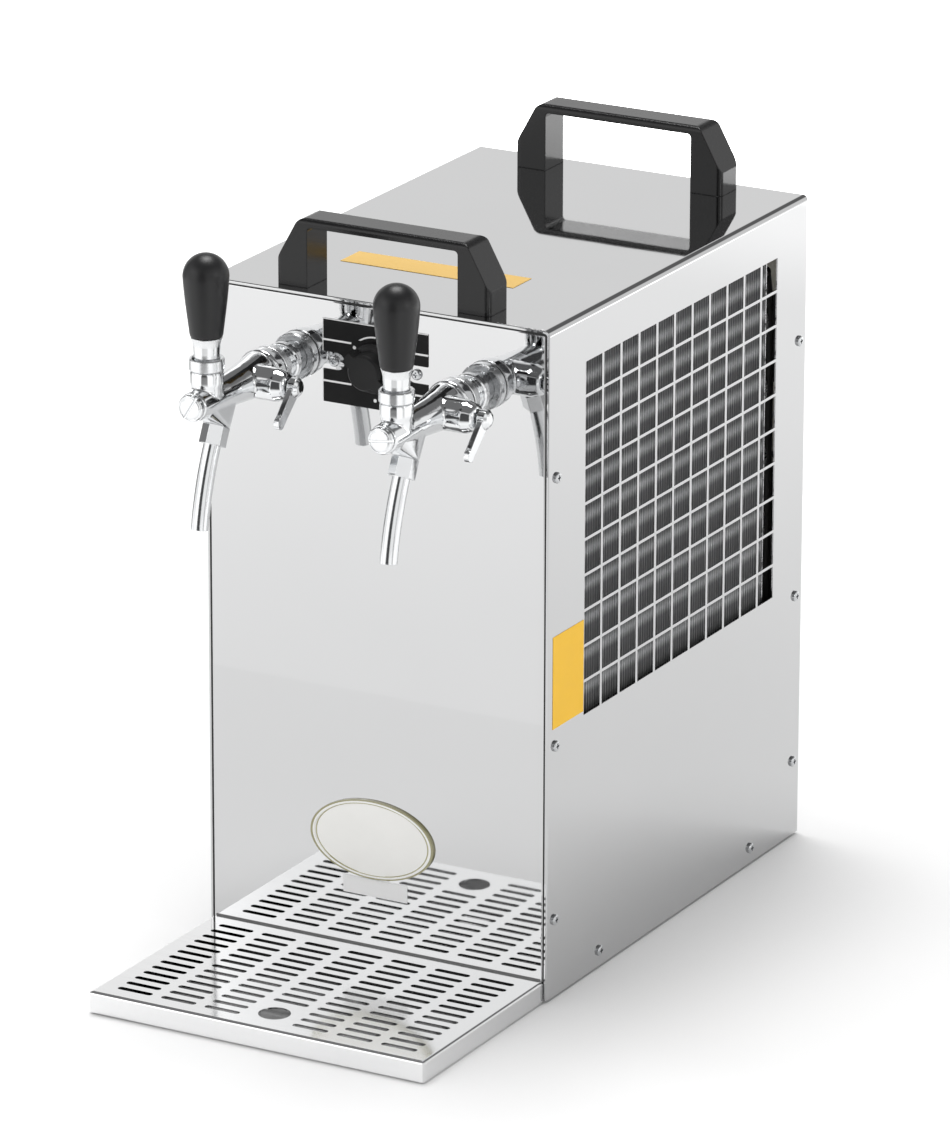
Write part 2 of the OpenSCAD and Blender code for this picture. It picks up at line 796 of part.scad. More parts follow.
module condenser_tubes() {
    bend = tube_pitch / 2;
    span = tube_y1 - tube_y0;
    gap = tube_x[1] - tube_x[0];
    color(copper) place() {
        for (x = tube_x)
            for (i = [0 : tube_count - 1])
                translate([x, tube_y0, tube_top - i * tube_pitch]) along_y()
                    cylinder(r = tube_r, h = span);
        for (x = tube_x)
            for (i = [0 : tube_count - 2])
                translate([x, i % 2 == 0 ? tube_y0 : tube_y1, tube_top - (i + 0.5) * tube_pitch])
                    rotate([90, 0, i % 2 == 0 ? -90 : 90]) rotate([0, 0, -90])
                        rotate_extrude(angle = 180) translate([bend, 0]) circle(r = tube_r);
        translate([(tube_x[0] + tube_x[1]) / 2, tube_y1, tube_top - (tube_count - 1) * tube_pitch])
            rotate_extrude(angle = 180) translate([gap / 2, 0]) circle(r = tube_r);
        for (x = tube_x)
            translate([x, tube_y1, tube_top]) along_y() cylinder(r = tube_r, h = tube_stub);
    }
}

module fan_shroud() {
    plate = [shroud_t, fin_y1 - fin_y0 + 2 * end_plate_t, fin_z1 - fin_z0];
    depth = fan_ring + shroud_t;
    color([0.20, 0.21, 0.22]) place() difference() {
        union() {
            translate([shroud_x, fin_y0 - end_plate_t, fin_z0]) cube(plate);
            translate([shroud_x - fan_ring, fan_y, fan_z]) along_x()
                cylinder(r = ring_r + ring_wall, h = depth);
        }
        translate([shroud_x - fan_ring - cut, fan_y, fan_z]) along_x()
            cylinder(r = ring_r, h = depth + 2 * cut);
    }
}

module fan_motor() {
    arm_r = 2.5;
    reach = ring_r + ring_wall + arm_r + 4;
    chamfer = 4;
    color([0.25, 0.26, 0.28]) place() difference() {
        union() {
            translate([motor_x, fan_y, fan_z]) along_x() rotate_extrude()
                polygon([[0, 0], [motor_r - chamfer, 0], [motor_r, chamfer], [motor_r, motor_len - chamfer],
                    [motor_r - chamfer, motor_len], [0, motor_len]]);
            for (turn = [30, 150, 270]) {
                out = [0, reach * cos(turn), reach * sin(turn)];
                hub = [motor_x + 8, fan_y, fan_z];
                bent_tube([hub, hub + out, [shroud_x, fan_y, fan_z] + out], arm_r);
            }
        }
        translate([motor_x + 6, fan_y, fan_z]) along_x()
            cylinder(r = fan_shaft_r + running, h = motor_len);
    }
}

module fan_blades() {
    hub_r = 17;
    blades = 5;
    pitch = 32;
    color([0.85, 0.85, 0.86]) place() translate([fan_x, fan_y, fan_z]) along_x() {
        rotate_extrude()
            polygon([[0, 0], [hub_r, 0], [hub_r, fan_len - 4], [hub_r - 4, fan_len], [0, fan_len]]);
        translate([0, 0, -motor_len + 4]) cylinder(r = fan_shaft_r, h = motor_len);
        intersection() {
            cylinder(r = fan_r, h = fan_len);
            for (i = [0 : blades - 1])
                rotate([0, 0, i * 360 / blades]) translate([hub_r - 3, 0, fan_len / 2])
                    rotate([pitch, 0, 0]) translate([0, -24, -0.8]) cube([fan_r, 48, 1.6]);
        }
    }
}

module cooling_block() {
    color([0.72, 0.73, 0.75]) place() difference() {
        translate([block_x - block_w / 2, block_y, block_z0]) cube([block_w, block_d, block_h]);
        for (p = block_ports)
            translate([p[0], p[1], block_z0 - cut]) cylinder(r = beer_r, h = block_h + 2 * cut);
    }
}

module block_insulation() {
    outer = [block_w + 2 * foam_t, block_d + 2 * foam_t, foam_z1 - foam_z0];
    color([0.93, 0.93, 0.90]) place() difference() {
        translate([block_x - outer[0] / 2, block_y - foam_t, foam_z0]) cube(outer);
        translate([block_x - block_w / 2 - block_play, block_y - block_play, block_z0 - block_play])
            cube([block_w + 2 * block_play, block_d + 2 * block_play, block_h + 2 * block_play]);
        for (p = block_ports)
            translate([p[0], p[1], foam_z0 - cut])
                cylinder(r = beer_tube_r + slip, h = outer[2] + 2 * cut);
        translate(capillary_port - [0, 0, foam_t + cut]) cylinder(r = 1.5 + slip, h = foam_t + 2 * cut);
        translate(suction_port) along_y() cylinder(r = 5 + slip, h = foam_t + cut);
    }
}

module discharge_pipe() {
    z = comp_z + comp_h * 0.7;
    start = comp_y + comp_r + 6;
    rear = casing_d - 27;
    color(copper) place() bent_tube([[comp_x, start, z], [comp_x, rear, z], [comp_x, rear, tube_top],
        [tube_x[0], rear, tube_top], [tube_x[0], tube_y1 + tube_stub, tube_top]], 4);
}

module suction_pipe() {
    z = comp_z + comp_h * 0.62;
    back = block_y + block_d + foam_t + 16;
    side = comp_x - comp_r - 6;
    color(copper) place() bent_tube([suction_port, [suction_port[0], back, suction_port[2]],
        [suction_port[0], back, z], [side - 16, back + 30, z], [side - 16, comp_y, z], [side, comp_y, z]], 5);
}

module filter_drier() {
    can_r = 10;
    color(copper) place() translate([tube_x[1], drier_y, drier_z]) rotate_extrude()
        polygon([[0, 0], [2.5, 0], [2.5, 8], [can_r, 16], [can_r, drier_len - 16], [5, drier_len - 8],
            [5, drier_len], [0, drier_len]]);
}

module capillary_tube() {
    floor_z = 34;
    lane = block_x + 4;
    color(copper) place() {
        bent_tube([[tube_x[1], drier_y, drier_z], [tube_x[1], drier_y, floor_z], [lane, drier_y, floor_z],
            [lane, block_y + block_d + foam_t + 40, floor_z],
            [capillary_port[0], capillary_port[1], floor_z], capillary_port], 1.5);
        bent_tube([[tube_x[1], drier_y, drier_z + drier_len], [tube_x[1], drier_y, tube_top - 30],
            [tube_x[1], tube_y1 + 17, tube_top], [tube_x[1], tube_y1 + tube_stub, tube_top]], 4);
    }
}

// Beer tubes and rear fittings

module beer_inlets() {
    body_r = 9;
    flange_r = 12;
    tail = 30;
    color(black) place()
        for (s = [-1, 1])
            translate([inlet_x + s * inlet_pitch / 2, inlet_y, inlet_z]) along_y() difference() {
                rotate_extrude() polygon([[0, -tail], [body_r - 2, -tail], [body_r, -tail + 2], [body_r, 0],
                    [flange_r, 0], [flange_r, 4], [body_r + 1, 5], [body_r + 1, 12], [body_r - 0.5, 13],
                    [body_r - 0.5, rear_reach - 1], [body_r - 1.5, rear_reach], [0, rear_reach]]);
                translate([0, 0, rear_reach - inlet_bore_len])
                    cylinder(r = inlet_bore_r, h = inlet_bore_len + cut);
                translate([0, 0, -tail - cut]) cylinder(r = 3.5, h = tail + rear_reach);
                translate([0, 0, -tail - cut]) cylinder(r = beer_tube_r + running, h = 12 + cut);
            }
}

module inlet_nuts() {
    nut_h = 6;
    color(chrome) place()
        for (s = [-1, 1])
            translate([inlet_x + s * inlet_pitch / 2, inlet_y - sheet - nut_h, inlet_z]) along_y()
                difference() {
                    cylinder(r = 15, h = nut_h, $fn = 6);
                    translate([0, 0, -cut]) cylinder(r = 9.15, h = nut_h + 2 * cut);
                }
}

module inlet_pipes() {
    tail_end = inlet_y - 30 + 11;
    color([0.90, 0.91, 0.92]) place()
        for (i = [0, 1]) {
            x = inlet_x + (i - 0.5) * inlet_pitch;
            p = block_ports[i];
            bent_tube([[x, tail_end, inlet_z], [x, p[1] + 60, inlet_z], [p[0], p[1], inlet_z + 30],
                [p[0], p[1], block_z0]], beer_tube_r);
        }
}

module outlet_pipes() {
    color([0.90, 0.91, 0.92]) place()
        for (i = [0, 1]) {
            p = block_ports[i];
            tail = [(i * 2 - 1) * tap_x, 50, tap_z];
            bent_tube([[p[0], p[1], block_z0 + block_h], [p[0], p[1], foam_z1 + 12],
                [tail[0], tail[1] + 12, tap_z], tail], beer_tube_r);
        }
}

module cord_gland() {
    color(black) place() translate([gland_x, casing_d, gland_z]) along_y() difference() {
        union() {
            rotate_extrude() polygon([[0, -12], [8, -12], [8, 0], [11, 0], [11, 4], [9.5, 5], [8, 18],
                [6.5, 20], [0, 20]]);
            translate([0, 0, -sheet - 5]) cylinder(r = 13, h = 5, $fn = 6);
        }
        translate([0, 0, -13]) cylinder(r = gland_bore_r, h = 34);
    }
}

// Drip tray

module drip_tray() {
    w = tray_w - 2 * grate_t - 2 * slip;
    reach = tray_reach - grate_t - slip;
    color(steel) place() difference() {
        union() {
            translate([0, -reach, tray_base])
                upright_rounded(w, tray_rim - tray_base, 3, 0, reach - slip);
            for (s = [-1, 1])
                translate([s * tongue_x - tongue_w / 2 + slip, -6, tray_base])
                    cube([tongue_w - 2 * slip, tongue_len + 6, tongue_t]);
        }
        translate([0, -reach + tray_t, tray_base + tray_t])
            upright_rounded(w - 2 * tray_t, tray_h, 2, 0, reach - slip - 2 * tray_t);
    }
}

module drip_grate() {
    edge_r = 2.5;
    middle = (slot_columns - 1) / 2;
    color(steel) place() difference() {
        intersection() {
            arched(tray_w, tray_h, edge_r, -tray_reach, -slip);
            upright_rounded(tray_w, tray_h, edge_r, -tray_reach, edge_r);
            crest_rounded(tray_w, tray_h, edge_r, -tray_reach, edge_r + 1);
        }
        arched(tray_w - 2 * grate_t, tray_h - grate_t, slip, -tray_reach + grate_t, cut);
        translate([-tray_w, -tray_reach - cut, -cut])
            cube([2 * tray_w, tray_reach + 2 * cut, cut + tray_base + slip]);
        translate([0, -slot_rear, tray_h - 3 * grate_t]) {
            for (row = [0 : slot_rows - 1])
                for (column = [-middle : middle])
                    if (column != 0 || row < slot_rows - 3)
                        translate([column * slot_pitch_x, -row * slot_pitch_y, 0])
                            slot_x(slot_len, slot_w, 6 * grate_t);
            translate([0, -(slot_rows - 2) * slot_pitch_y, 0]) cylinder(r = finger_r, h = 6 * grate_t);
        }
    }
}

// Taps, drawn from the tap axis at the panel

module tap_shank_shape() {
    flange_r = 14.5;
    color(chrome) forward() difference() {
        rotate_extrude() polygon([[0, -50], [5.5, -50], [5.5, -36], [shank_r - 1, -36], [shank_r, -35],
            [shank_r, 0], [flange_r, 0], [flange_r, 2], [flange_r - 1, 3], [shank_r, 3],
            [shank_r, collar_f + 5], [8, collar_f + 5], [7.5, collar_f + 10], [0, collar_f + 10]]);
        translate([0, 0, -50 - cut]) cylinder(r = beer_r, h = 70 + collar_f);
    }
}

module shank_nuts() {
    color(chrome)
        for (side = [-1, 1])
            at_tap(side) translate([0, sheet, 0]) along_y() difference() {
                cylinder(r = 18, h = 7, $fn = 6);
                translate([0, 0, -cut]) cylinder(r = shank_r + 0.15, h = 7 + 2 * cut);
            }
}

module tap_collar_shape() {
    f1 = collar_f + collar_len;
    color(chrome) forward() difference() {
        rotate_extrude() polygon([[0, collar_f], [collar_r - 1.2, collar_f], [collar_r, collar_f + 1.2],
            [collar_r, collar_f + 7], [collar_r - 0.8, collar_f + 7.6], [collar_r - 0.8, collar_f + 8.8],
            [collar_r, collar_f + 9.4], [collar_r, f1 - 2], [collar_r - 2, f1], [0, f1]]);
        translate([0, 0, collar_f - cut]) cylinder(r = shank_r + 0.15, h = 6.5 + cut);
        translate([0, 0, collar_f + 6]) cylinder(r = 14.3, h = 6);
        translate([0, 0, collar_f + 11]) cylinder(r = 13.3, h = collar_len);
        for (turn = [0 : 60 : 300])
            rotate([0, 0, turn]) translate([collar_r - 1.2, -1.5, collar_f - cut]) cube([4, 3, 5]);
    }
}

module tap_body_shape() {
    f0 = collar_f + 6.3;
    rear = collar_f + collar_len + slip;
    mouth = cap_f - 3.5;
    dish_r = sqrt(pow(ball_r, 2) - pow(pin_h - socket_top, 2)) + slip;
    color(chrome) difference() {
        union() {
            forward() rotate_extrude() polygon([[0, f0], [14, f0], [14, f0 + 4], [13, f0 + 4.2], [13, rear],
                [15.5, rear], [16, rear + 0.8], [16, rear + 3], [14.5, 45], [13, 58], [12, 72], [11.2, 86],
                [11, head_f], [10.6, mouth - 1], [9.8, mouth], [0, mouth]]);
            translate([0, -boss_f, 0]) along_x() rotate_extrude()
                polygon([[0, 0], [boss_r - 0.8, 0], [boss_r, 6], [boss_r, boss_reach - 8],
                    [boss_r - 2.4, boss_reach - 1.5], [boss_r - 4, boss_reach], [0, boss_reach]]);
            translate([0, -head_f, 0]) rotate_extrude()
                polygon([[0, 0], [socket_r - 1.2, 0], [socket_r - 0.6, 10], [socket_r, 13],
                    [socket_r, socket_top], [0, socket_top]]);
            hull() {
                up_spout() translate([0, 0, hex_len]) cylinder(r = hex_r, h = 0.6, $fn = 32);
                translate([0, -78, 0]) forward() cylinder(r = 10.4, h = 34, $fn = 32);
            }
        }
        forward() translate([0, 0, collar_f]) cylinder(r = 8.2, h = 10.4);
        forward() translate([0, 0, collar_f + 10]) cylinder(r = chamber_r, h = seat_f - collar_f - 10);
        forward() translate([0, 0, seat_f - cut]) cylinder(r = 5.6, h = cap_f - seat_f);
        forward() translate([0, 0, head_f + 10]) cylinder(r = 8.5, h = cap_f - head_f);
        translate([0, -boss_f, 0]) along_x() cylinder(r = flow_shaft_r + running, h = boss_reach + cut);
        translate([-5.3, -head_f - 6, -4]) cube([10.6, 6 + 5.4 + plunger_travel, socket_top + 4 + cut]);
        translate([0, -head_f, pin_h - ball_r - slip]) cylinder(r = dish_r, h = ball_r);
        up_spout() cylinder(r = spout_r - spout_wall, h = 34);
    }
}

module tap_cap_shape(turn) {
    color(chrome) forward() difference() {
        rotate_extrude() polygon([[0, head_f + 11], [8.4, head_f + 11], [8.4, cap_f - 3.4],
            [9.4, cap_f - 3.4], [9.6, cap_f - 2.9], [9.6, cap_f - 1], [8.9, cap_f - 0.2], [8.2, cap_f - 0.2],
            [7.9, cap_f - 0.7], [7.4, cap_f - 0.2], [6, cap_f], [0, cap_f]]);
        rotate([0, 0, turn]) translate([-10, -0.8, cap_f - 1.4]) cube([20, 1.6, 3]);
    }
}

// Tube bent round the spout's curve, between two leans
module spout_sweep(r, from, to) {
    side_plane() translate(spout_centre) rotate([0, 0, from])
        rotate_extrude(angle = to - from) translate([spout_curve, 0]) circle(r = r);
}

// Up along the spout's axis from the foot of its hexagon
module up_spout() {
    side_plane() translate(spout_foot) rotate([0, 0, spout_lean_top]) rotate([-90, 0, 0]) children();
}

module tap_spout_shape() {
    bore = spout_r - spout_wall;
    color(chrome) difference() {
        union() {
            spout_sweep(spout_r, spout_lean_end, spout_lean_top + 1);
            up_spout() cylinder(r = hex_r, h = hex_len - 0.1, $fn = 6);
        }
        spout_sweep(bore, spout_lean_end - 1, spout_lean_top + 2);
        up_spout() translate([0, 0, 3]) cylinder(r = bore + 0.5, h = hex_len);
    }
}

module tap_plunger_shape() {
    yoke = [9, 10];
    yoke_top = pin_h - ball_r - 2 * slip;
    head = 7.4;
    color(chrome) difference() {
        union() {
            forward() translate([0, 0, seat_f - 4]) cylinder(r = 3.6, h = head_f - seat_f + 4);
            forward() translate([0, 0, seat_f - 4.3]) cylinder(r = head, h = 4);
            translate([-yoke[0] / 2, -head_f - yoke[1] / 2, -3]) cube([yoke[0], yoke[1], yoke_top + 3]);
        }
        translate([-3.5, -head_f - 3.4, pin_h - lever_tail - 4]) cube([7, 6.8, 2 * lever_tail]);
    }
}

// Ball and ferrule of the lever, measured up from its pin
module lever_turned() {
    rotate_extrude() polygon(concat([for (a = [-90 : 10 : 0]) ball_r * [cos(a), sin(a)]],
        [[ball_r - 0.2, cone_h], [10, cone_top - 0.6], [9.4, cone_top], [0, cone_top]]));
}

module bonnet_nuts() {
    mouth_r = ball_r + slip;
    color(chrome)
        for (side = [-1, 1])
            at_tap(side) translate([0, -head_f, 0]) difference() {
                translate([0, 0, socket_top + slip]) rotate_extrude()
                    polygon([[8, 0], [bonnet_r - 0.6, 0], [bonnet_r, 0.6], [bonnet_r, bonnet_h - 0.8],
                        [bonnet_r - 0.8, bonnet_h], [8, bonnet_h]]);
                cylinder(r = mouth_r, h = pin_h + bonnet_h);
                translate([0, 0, pin_h]) rotate([lever_swing, 0, 0])
                    cylinder(r = mouth_r + 0.1, h = 2 * bonnet_h);
                translate([-bonnet_r - cut, 0, pin_h]) along_x()
                    cylinder(r = pin_r + 0.02, h = 2 * (bonnet_r + cut));
            }
}

module lever_pins() {
    color(chrome)
        for (side = [-1, 1])
            at_tap(side) translate([-bonnet_r + 0.5, -head_f, pin_h]) along_x()
                cylinder(r = pin_r, h = 2 * (bonnet_r - 0.5));
}

module tap_lever_shape() {
    stub = knob_top - pin_h - 30;
    color(chrome) translate([0, -head_f, pin_h]) difference() {
        union() {
            lever_turned();
            cylinder(r = 5, h = stub);
            translate([0, 0, -lever_tail]) cylinder(r = 2.5, h = lever_tail);
            translate([0, 0, -lever_tail]) sphere(r = 3);
        }
        translate([-bonnet_r, 0, 0]) along_x() cylinder(r = pin_r + running, h = 2 * bonnet_r);
    }
}

module tap_knob_shape() {
    foot = cone_top + slip;
    top = knob_top - pin_h;
    color(black) translate([0, -head_f, pin_h]) difference() {
        rotate_extrude() polygon(concat([[0, foot], [knob_foot_r - 0.8, foot], [knob_foot_r, foot + 0.8],
            [knob_foot_r + 0.3, foot + 3]],
            [for (a = [-6 : 8 : 90]) [knob_r * cos(a), top - knob_r + knob_r * sin(a)]]));
        translate([0, 0, foot - cut]) cylinder(r = 5.1, h = top - 30 - foot + cut + 0.4);
    }
}

module flow_lever_shape() {
    hub_r = 7;
    hub_x = boss_reach + slip;
    hub_end = hub_x + 9.5;
    arm_t = 4;
    tip_r = 4.4;
    color(chrome) translate([0, -boss_f, 0]) {
        along_x() rotate_extrude() polygon([[0, 8.2], [flow_shaft_r, 8.2], [flow_shaft_r, hub_x], [5, hub_x],
            [hub_r, hub_x + 2], [hub_r, hub_end - 2.5], [hub_r - 2, hub_end - 0.6], [hub_r - 4, hub_end],
            [0, hub_end]]);
        translate([-2, 0, flow_throw]) along_x() cylinder(r = 1.5, h = 11);
        rotate([-flow_arm_lean, 0, 0]) translate([hub_x + 2.6, 0, 0]) along_x() {
            linear_extrude(arm_t)
                polygon([[0, -5.2], [flow_arm - tip_r, -4], [flow_arm - tip_r, 4], [0, 5.2]]);
            translate([flow_arm - tip_r, 0, 0]) cylinder(r = tip_r, h = arm_t);
        }
    }
}

module flow_cone_shape() {
    rear = boss_f - 12;
    color(chrome) difference() {
        forward() rotate_extrude() polygon([[0, rear], [2.5, rear], [4.5, rear + 2], [7.6, boss_f + 8],
            [7.6, boss_f + 14], [5, boss_f + 17], [0, boss_f + 17]]);
        translate([-3, -boss_f - 1.85, -7]) cube([14, 3.7, 14]);
    }
}

module left_tap_shank() { at_tap(-1) tap_shank_shape(); }
module left_tap_collar() { at_tap(-1) tap_collar_shape(); }
module left_tap_body() { at_tap(-1) tap_body_shape(); }
module left_tap_cap() { at_tap(-1) tap_cap_shape(58); }
module left_tap_spout() { at_tap(-1) tap_spout_shape(); }
module left_tap_plunger() { at_tap(-1) tap_plunger_shape(); }
module left_tap_lever() { at_tap(-1) tap_lever_shape(); }
module left_tap_knob() { at_tap(-1) tap_knob_shape(); }
module left_flow_lever() { at_tap(-1) flow_lever_shape(); }
module left_flow_cone() { at_tap(-1) flow_cone_shape(); }
module right_tap_shank() { at_tap(1) tap_shank_shape(); }
module right_tap_collar() { at_tap(1) tap_collar_shape(); }
module right_tap_body() { at_tap(1) tap_body_shape(); }
module right_tap_cap() { at_tap(1) tap_cap_shape(8); }
module right_tap_spout() { at_tap(1) tap_spout_shape(); }
module right_tap_plunger() { at_tap(1) tap_plunger_shape(); }
module right_tap_lever() { at_tap(1) tap_lever_shape(); }
module right_tap_knob() { at_tap(1) tap_knob_shape(); }
module right_flow_lever() { at_tap(1) flow_lever_shape(); }
module right_flow_cone() { at_tap(1) flow_cone_shape(); }

base_plate();
outer_cover();
front_panel();
rear_panel();
rubber_feet();
cover_screws();
front_handle();
rear_handle();
handle_screws();
badge_plate();
blank_labels();
thermostat_plate();
thermostat_knob();
thermostat_body();
thermostat_screws();
compressor();
compressor_mounts();
condenser_frame();
condenser_fins();
condenser_tubes();
fan_shroud();
fan_motor();
fan_blades();
cooling_block();
block_insulation();
discharge_pipe();
suction_pipe();
filter_drier();
capillary_tube();
beer_inlets();
inlet_nuts();
inlet_pipes();
outlet_pipes();
cord_gland();
drip_tray();
drip_grate();
shank_nuts();
bonnet_nuts();
lever_pins();
left_tap_shank();
left_tap_collar();
left_tap_body();
left_tap_cap();
left_tap_spout();
left_tap_plunger();
left_tap_lever();
left_tap_knob();
left_flow_lever();
left_flow_cone();
right_tap_shank();
right_tap_collar();
right_tap_body();
right_tap_cap();
right_tap_spout();
right_tap_plunger();
right_tap_lever();
right_tap_knob();
right_flow_lever();
right_flow_cone();
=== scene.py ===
"""Looks of a counter-top draught beer dispenser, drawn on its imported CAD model.

Metres, in the frame of the CAD model: +Z up, +X to the right, the taps face -Y.
"""

import math

import bmesh
import bpy
from bpy.props import FloatProperty, FloatVectorProperty, PointerProperty
from mathutils import Matrix, Vector


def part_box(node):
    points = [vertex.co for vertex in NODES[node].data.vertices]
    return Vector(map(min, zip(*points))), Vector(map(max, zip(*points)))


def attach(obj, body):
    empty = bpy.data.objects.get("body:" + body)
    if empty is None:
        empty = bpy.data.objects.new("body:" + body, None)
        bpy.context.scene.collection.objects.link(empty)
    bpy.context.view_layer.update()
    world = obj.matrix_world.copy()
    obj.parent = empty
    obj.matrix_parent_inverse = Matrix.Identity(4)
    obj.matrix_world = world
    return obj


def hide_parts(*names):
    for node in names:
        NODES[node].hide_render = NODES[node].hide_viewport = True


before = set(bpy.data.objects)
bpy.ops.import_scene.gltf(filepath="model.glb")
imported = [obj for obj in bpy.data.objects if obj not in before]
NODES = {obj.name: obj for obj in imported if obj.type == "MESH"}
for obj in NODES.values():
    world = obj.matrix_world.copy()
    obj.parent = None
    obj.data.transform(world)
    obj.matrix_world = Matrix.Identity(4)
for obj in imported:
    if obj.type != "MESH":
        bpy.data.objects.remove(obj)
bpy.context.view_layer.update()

bl_info = {
    "name": "Draught beer dispenser",
    "version": (1, 0, 0),
    "blender": (4, 5, 0),
    "location": "View3D > Sidebar > Dispenser",
    "description": "Dresses the packed dispenser with its materials, small parts and stage",
    "category": "Object",
}

SIDES = ("left", "right")
# Plane of the front panel, which the taps and the tray stand in front of
PANEL_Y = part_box("badge_plate")[1].y

# Colours that no setting holds; a pair is the darker and the paler end of an uneven colour
WHITE = (1.0, 1.0, 1.0)
BASE_STEEL = (0.5, 0.51, 0.52)
FOOT_RUBBER = (0.016, 0.016, 0.016)
SEAM_RUBBER = (0.012, 0.012, 0.012)
JOINT_SHADE_GREY = (0.20, 0.20, 0.20)
SCREW_ZINC = (0.55, 0.56, 0.57)
BADGE_LINE = (0.40, 0.37, 0.20)
BADGE_RIM = (0.34, 0.32, 0.18)
LABEL_WHITE = ((0.92, 0.92, 0.92), (0.97, 0.97, 0.97))
LABEL_TOP_PAINTED_LIGHT = ((0.605, 0.39, 0.097), (0.66, 0.425, 0.115))
DIAL_BLACK = ((0.011, 0.011, 0.011), (0.017, 0.017, 0.0175))
DIAL_PRINT_AND_HIGHLIGHT = (0.82, 0.82, 0.82)
THERMOSTAT_STEEL = (0.6, 0.6, 0.6)
SEAL_RUBBER = (0.010, 0.010, 0.010)
PAN_STEEL = (0.58, 0.58, 0.58)
PAN_PAINTED_SHADE = (0.16, 0.16, 0.16)
COPPER = (0.62, 0.33, 0.20)
PIPE_SLEEVE = (0.012, 0.011, 0.010)
CONDENSER_STEEL = (0.55, 0.55, 0.55)
FRAME_STEEL = (0.6, 0.6, 0.61)
COMPRESSOR_ENAMEL = (0.012, 0.012, 0.013)
MOUNT_RUBBER = (0.02, 0.02, 0.02)
SHROUD_PAINT = (0.035, 0.037, 0.04)
MOTOR_PAINT = (0.03, 0.031, 0.033)
FAN_PLASTIC = (0.62, 0.63, 0.64)
BLOCK_ALUMINIUM = (0.6, 0.61, 0.62)
BLOCK_FOAM = (0.72, 0.70, 0.62)
BEER_PIPE = (0.62, 0.63, 0.64)
STUDIO_DARK = (0.03, 0.03, 0.032)
FLOOR_DARK = (0.03, 0.03, 0.03)

# Dark gaps between the studio's screens: first and last turn from the front, in degrees, and depth
GAPS = ((-7.0, 26.0, 0.95), (-112.0, -88.0, 0.8), (66.0, 73.0, 0.5))

# Sockets of a Mix node when it mixes colours
MIX_FACTOR, MIX_FIRST, MIX_SECOND, MIX_RESULT = 0, 6, 7, 2
# Rays that a bevel node sends out
BEVEL_SAMPLES = 4
# Edges of a made mesh that turn more than this stay sharp
SHARP_TURN = math.radians(40)


# Node tree helpers

def tree_of(name):
    """Gives a new material and its cleared node tree."""
    material = bpy.data.materials.new(name)
    material.use_nodes = True
    material.node_tree.nodes.clear()
    return material, material.node_tree


def add(tree, kind, inputs=None, **settings):
    """Adds one node. Each input, by name or number, is linked to a socket or set to a constant."""
    node = tree.nodes.new(kind)
    for name, value in settings.items():
        setattr(node, name, value)
    for key, value in (inputs or {}).items():
        if isinstance(value, bpy.types.NodeSocket):
            tree.links.new(value, node.inputs[key])
        else:
            node.inputs[key].default_value = value
    return node


def spaced(values):
    """Turns the underscores of keyword names into the spaces of socket names."""
    return {key.replace("_", " "): value for key, value in values.items()}


def math_node(tree, operation, *values):
    """Adds a math node fed by sockets or numbers, and gives its output."""
    return add(tree, "ShaderNodeMath", dict(enumerate(values)), operation=operation).outputs[0]


def product(tree, first, *others):
    """Multiplies masks and numbers."""
    for other in others:
        first = math_node(tree, "MULTIPLY", first, other)
    return first


def either(tree, first, *others):
    """Greatest of several masks."""
    for other in others:
        first = math_node(tree, "MAXIMUM", first, other)
    return first


def reach(tree, across, up):
    """Distance of a point from the origin of its two coordinates."""
    squares = [math_node(tree, "MULTIPLY", part, part) for part in (across, up)]
    return math_node(tree, "SQRT", math_node(tree, "ADD", *squares))


def spread(tree, value, low, high):
    """Maps a value of 0 to 1 onto low to high."""
    return add(tree, "ShaderNodeMapRange", {"Value": value, "To Min": low, "To Max": high}).outputs[0]


def ramp(tree, value, start, end):
    """Smooth step: 0 where a value is at its start, 1 at its end, which may be the lower one."""
    span = {"Value": value, "From Min": start, "From Max": end}
    return add(tree, "ShaderNodeMapRange", span, interpolation_type="SMOOTHSTEP").outputs[0]


def band(tree, value, low, high):
    """Mask that is 1 where a value lies between two numbers."""
    above = math_node(tree, "GREATER_THAN", value, low)
    below = math_node(tree, "LESS_THAN", value, high)
    return math_node(tree, "MULTIPLY", above, below)


def parts_of(tree, vector):
    """X, Y and Z of a vector."""
    return add(tree, "ShaderNodeSeparateXYZ", {0: vector}).outputs


def position(tree, kind="Object"):
    """X, Y and Z of a point. Object coordinates are metres in the CAD frame."""
    return parts_of(tree, add(tree, "ShaderNodeTexCoord").outputs[kind])


def rgba(colour, factor=1.0):
    """A colour of three numbers, scaled, with full alpha."""
    return tuple(min(1.0, part * factor) for part in colour[:3]) + (1.0,)


def mix_colour(tree, factor, first, second):
    """Mixes two colours by a factor; each may be a socket or a constant."""
    inputs = {MIX_FACTOR: factor, MIX_FIRST: first, MIX_SECOND: second}
    return add(tree, "ShaderNodeMix", inputs, data_type="RGBA").outputs[MIX_RESULT]


def uneven_colour(tree, mask, colour, dark, pale):
    """Colour that a mask shifts between two shares of its strength."""
    return mix_colour(tree, mask, rgba(colour, dark), rgba(colour, pale))


def uneven_pair(tree, mask, colours):
    """Colour that a mask shifts between two colours."""
    dark, pale = colours
    return mix_colour(tree, mask, rgba(dark), rgba(pale))


def uneven_gloss(tree, mask, rough, least, most):
    """Roughness that a mask shifts between two shares of its value."""
    return spread(tree, mask, rough * least, rough * most)


def bump(tree, height, strength, distance, normal=None):
    """Normal of a relief, laid over another normal where one is given."""
    inputs = {"Height": height, "Strength": strength, "Distance": distance}
    if normal is not None:
        inputs["Normal"] = normal
    return add(tree, "ShaderNodeBump", inputs).outputs[0]


def rounded(tree, radius):
    """Normal that rounds off the edges of a mesh."""
    return add(tree, "ShaderNodeBevel", {"Radius": radius}, samples=BEVEL_SAMPLES).outputs[0]


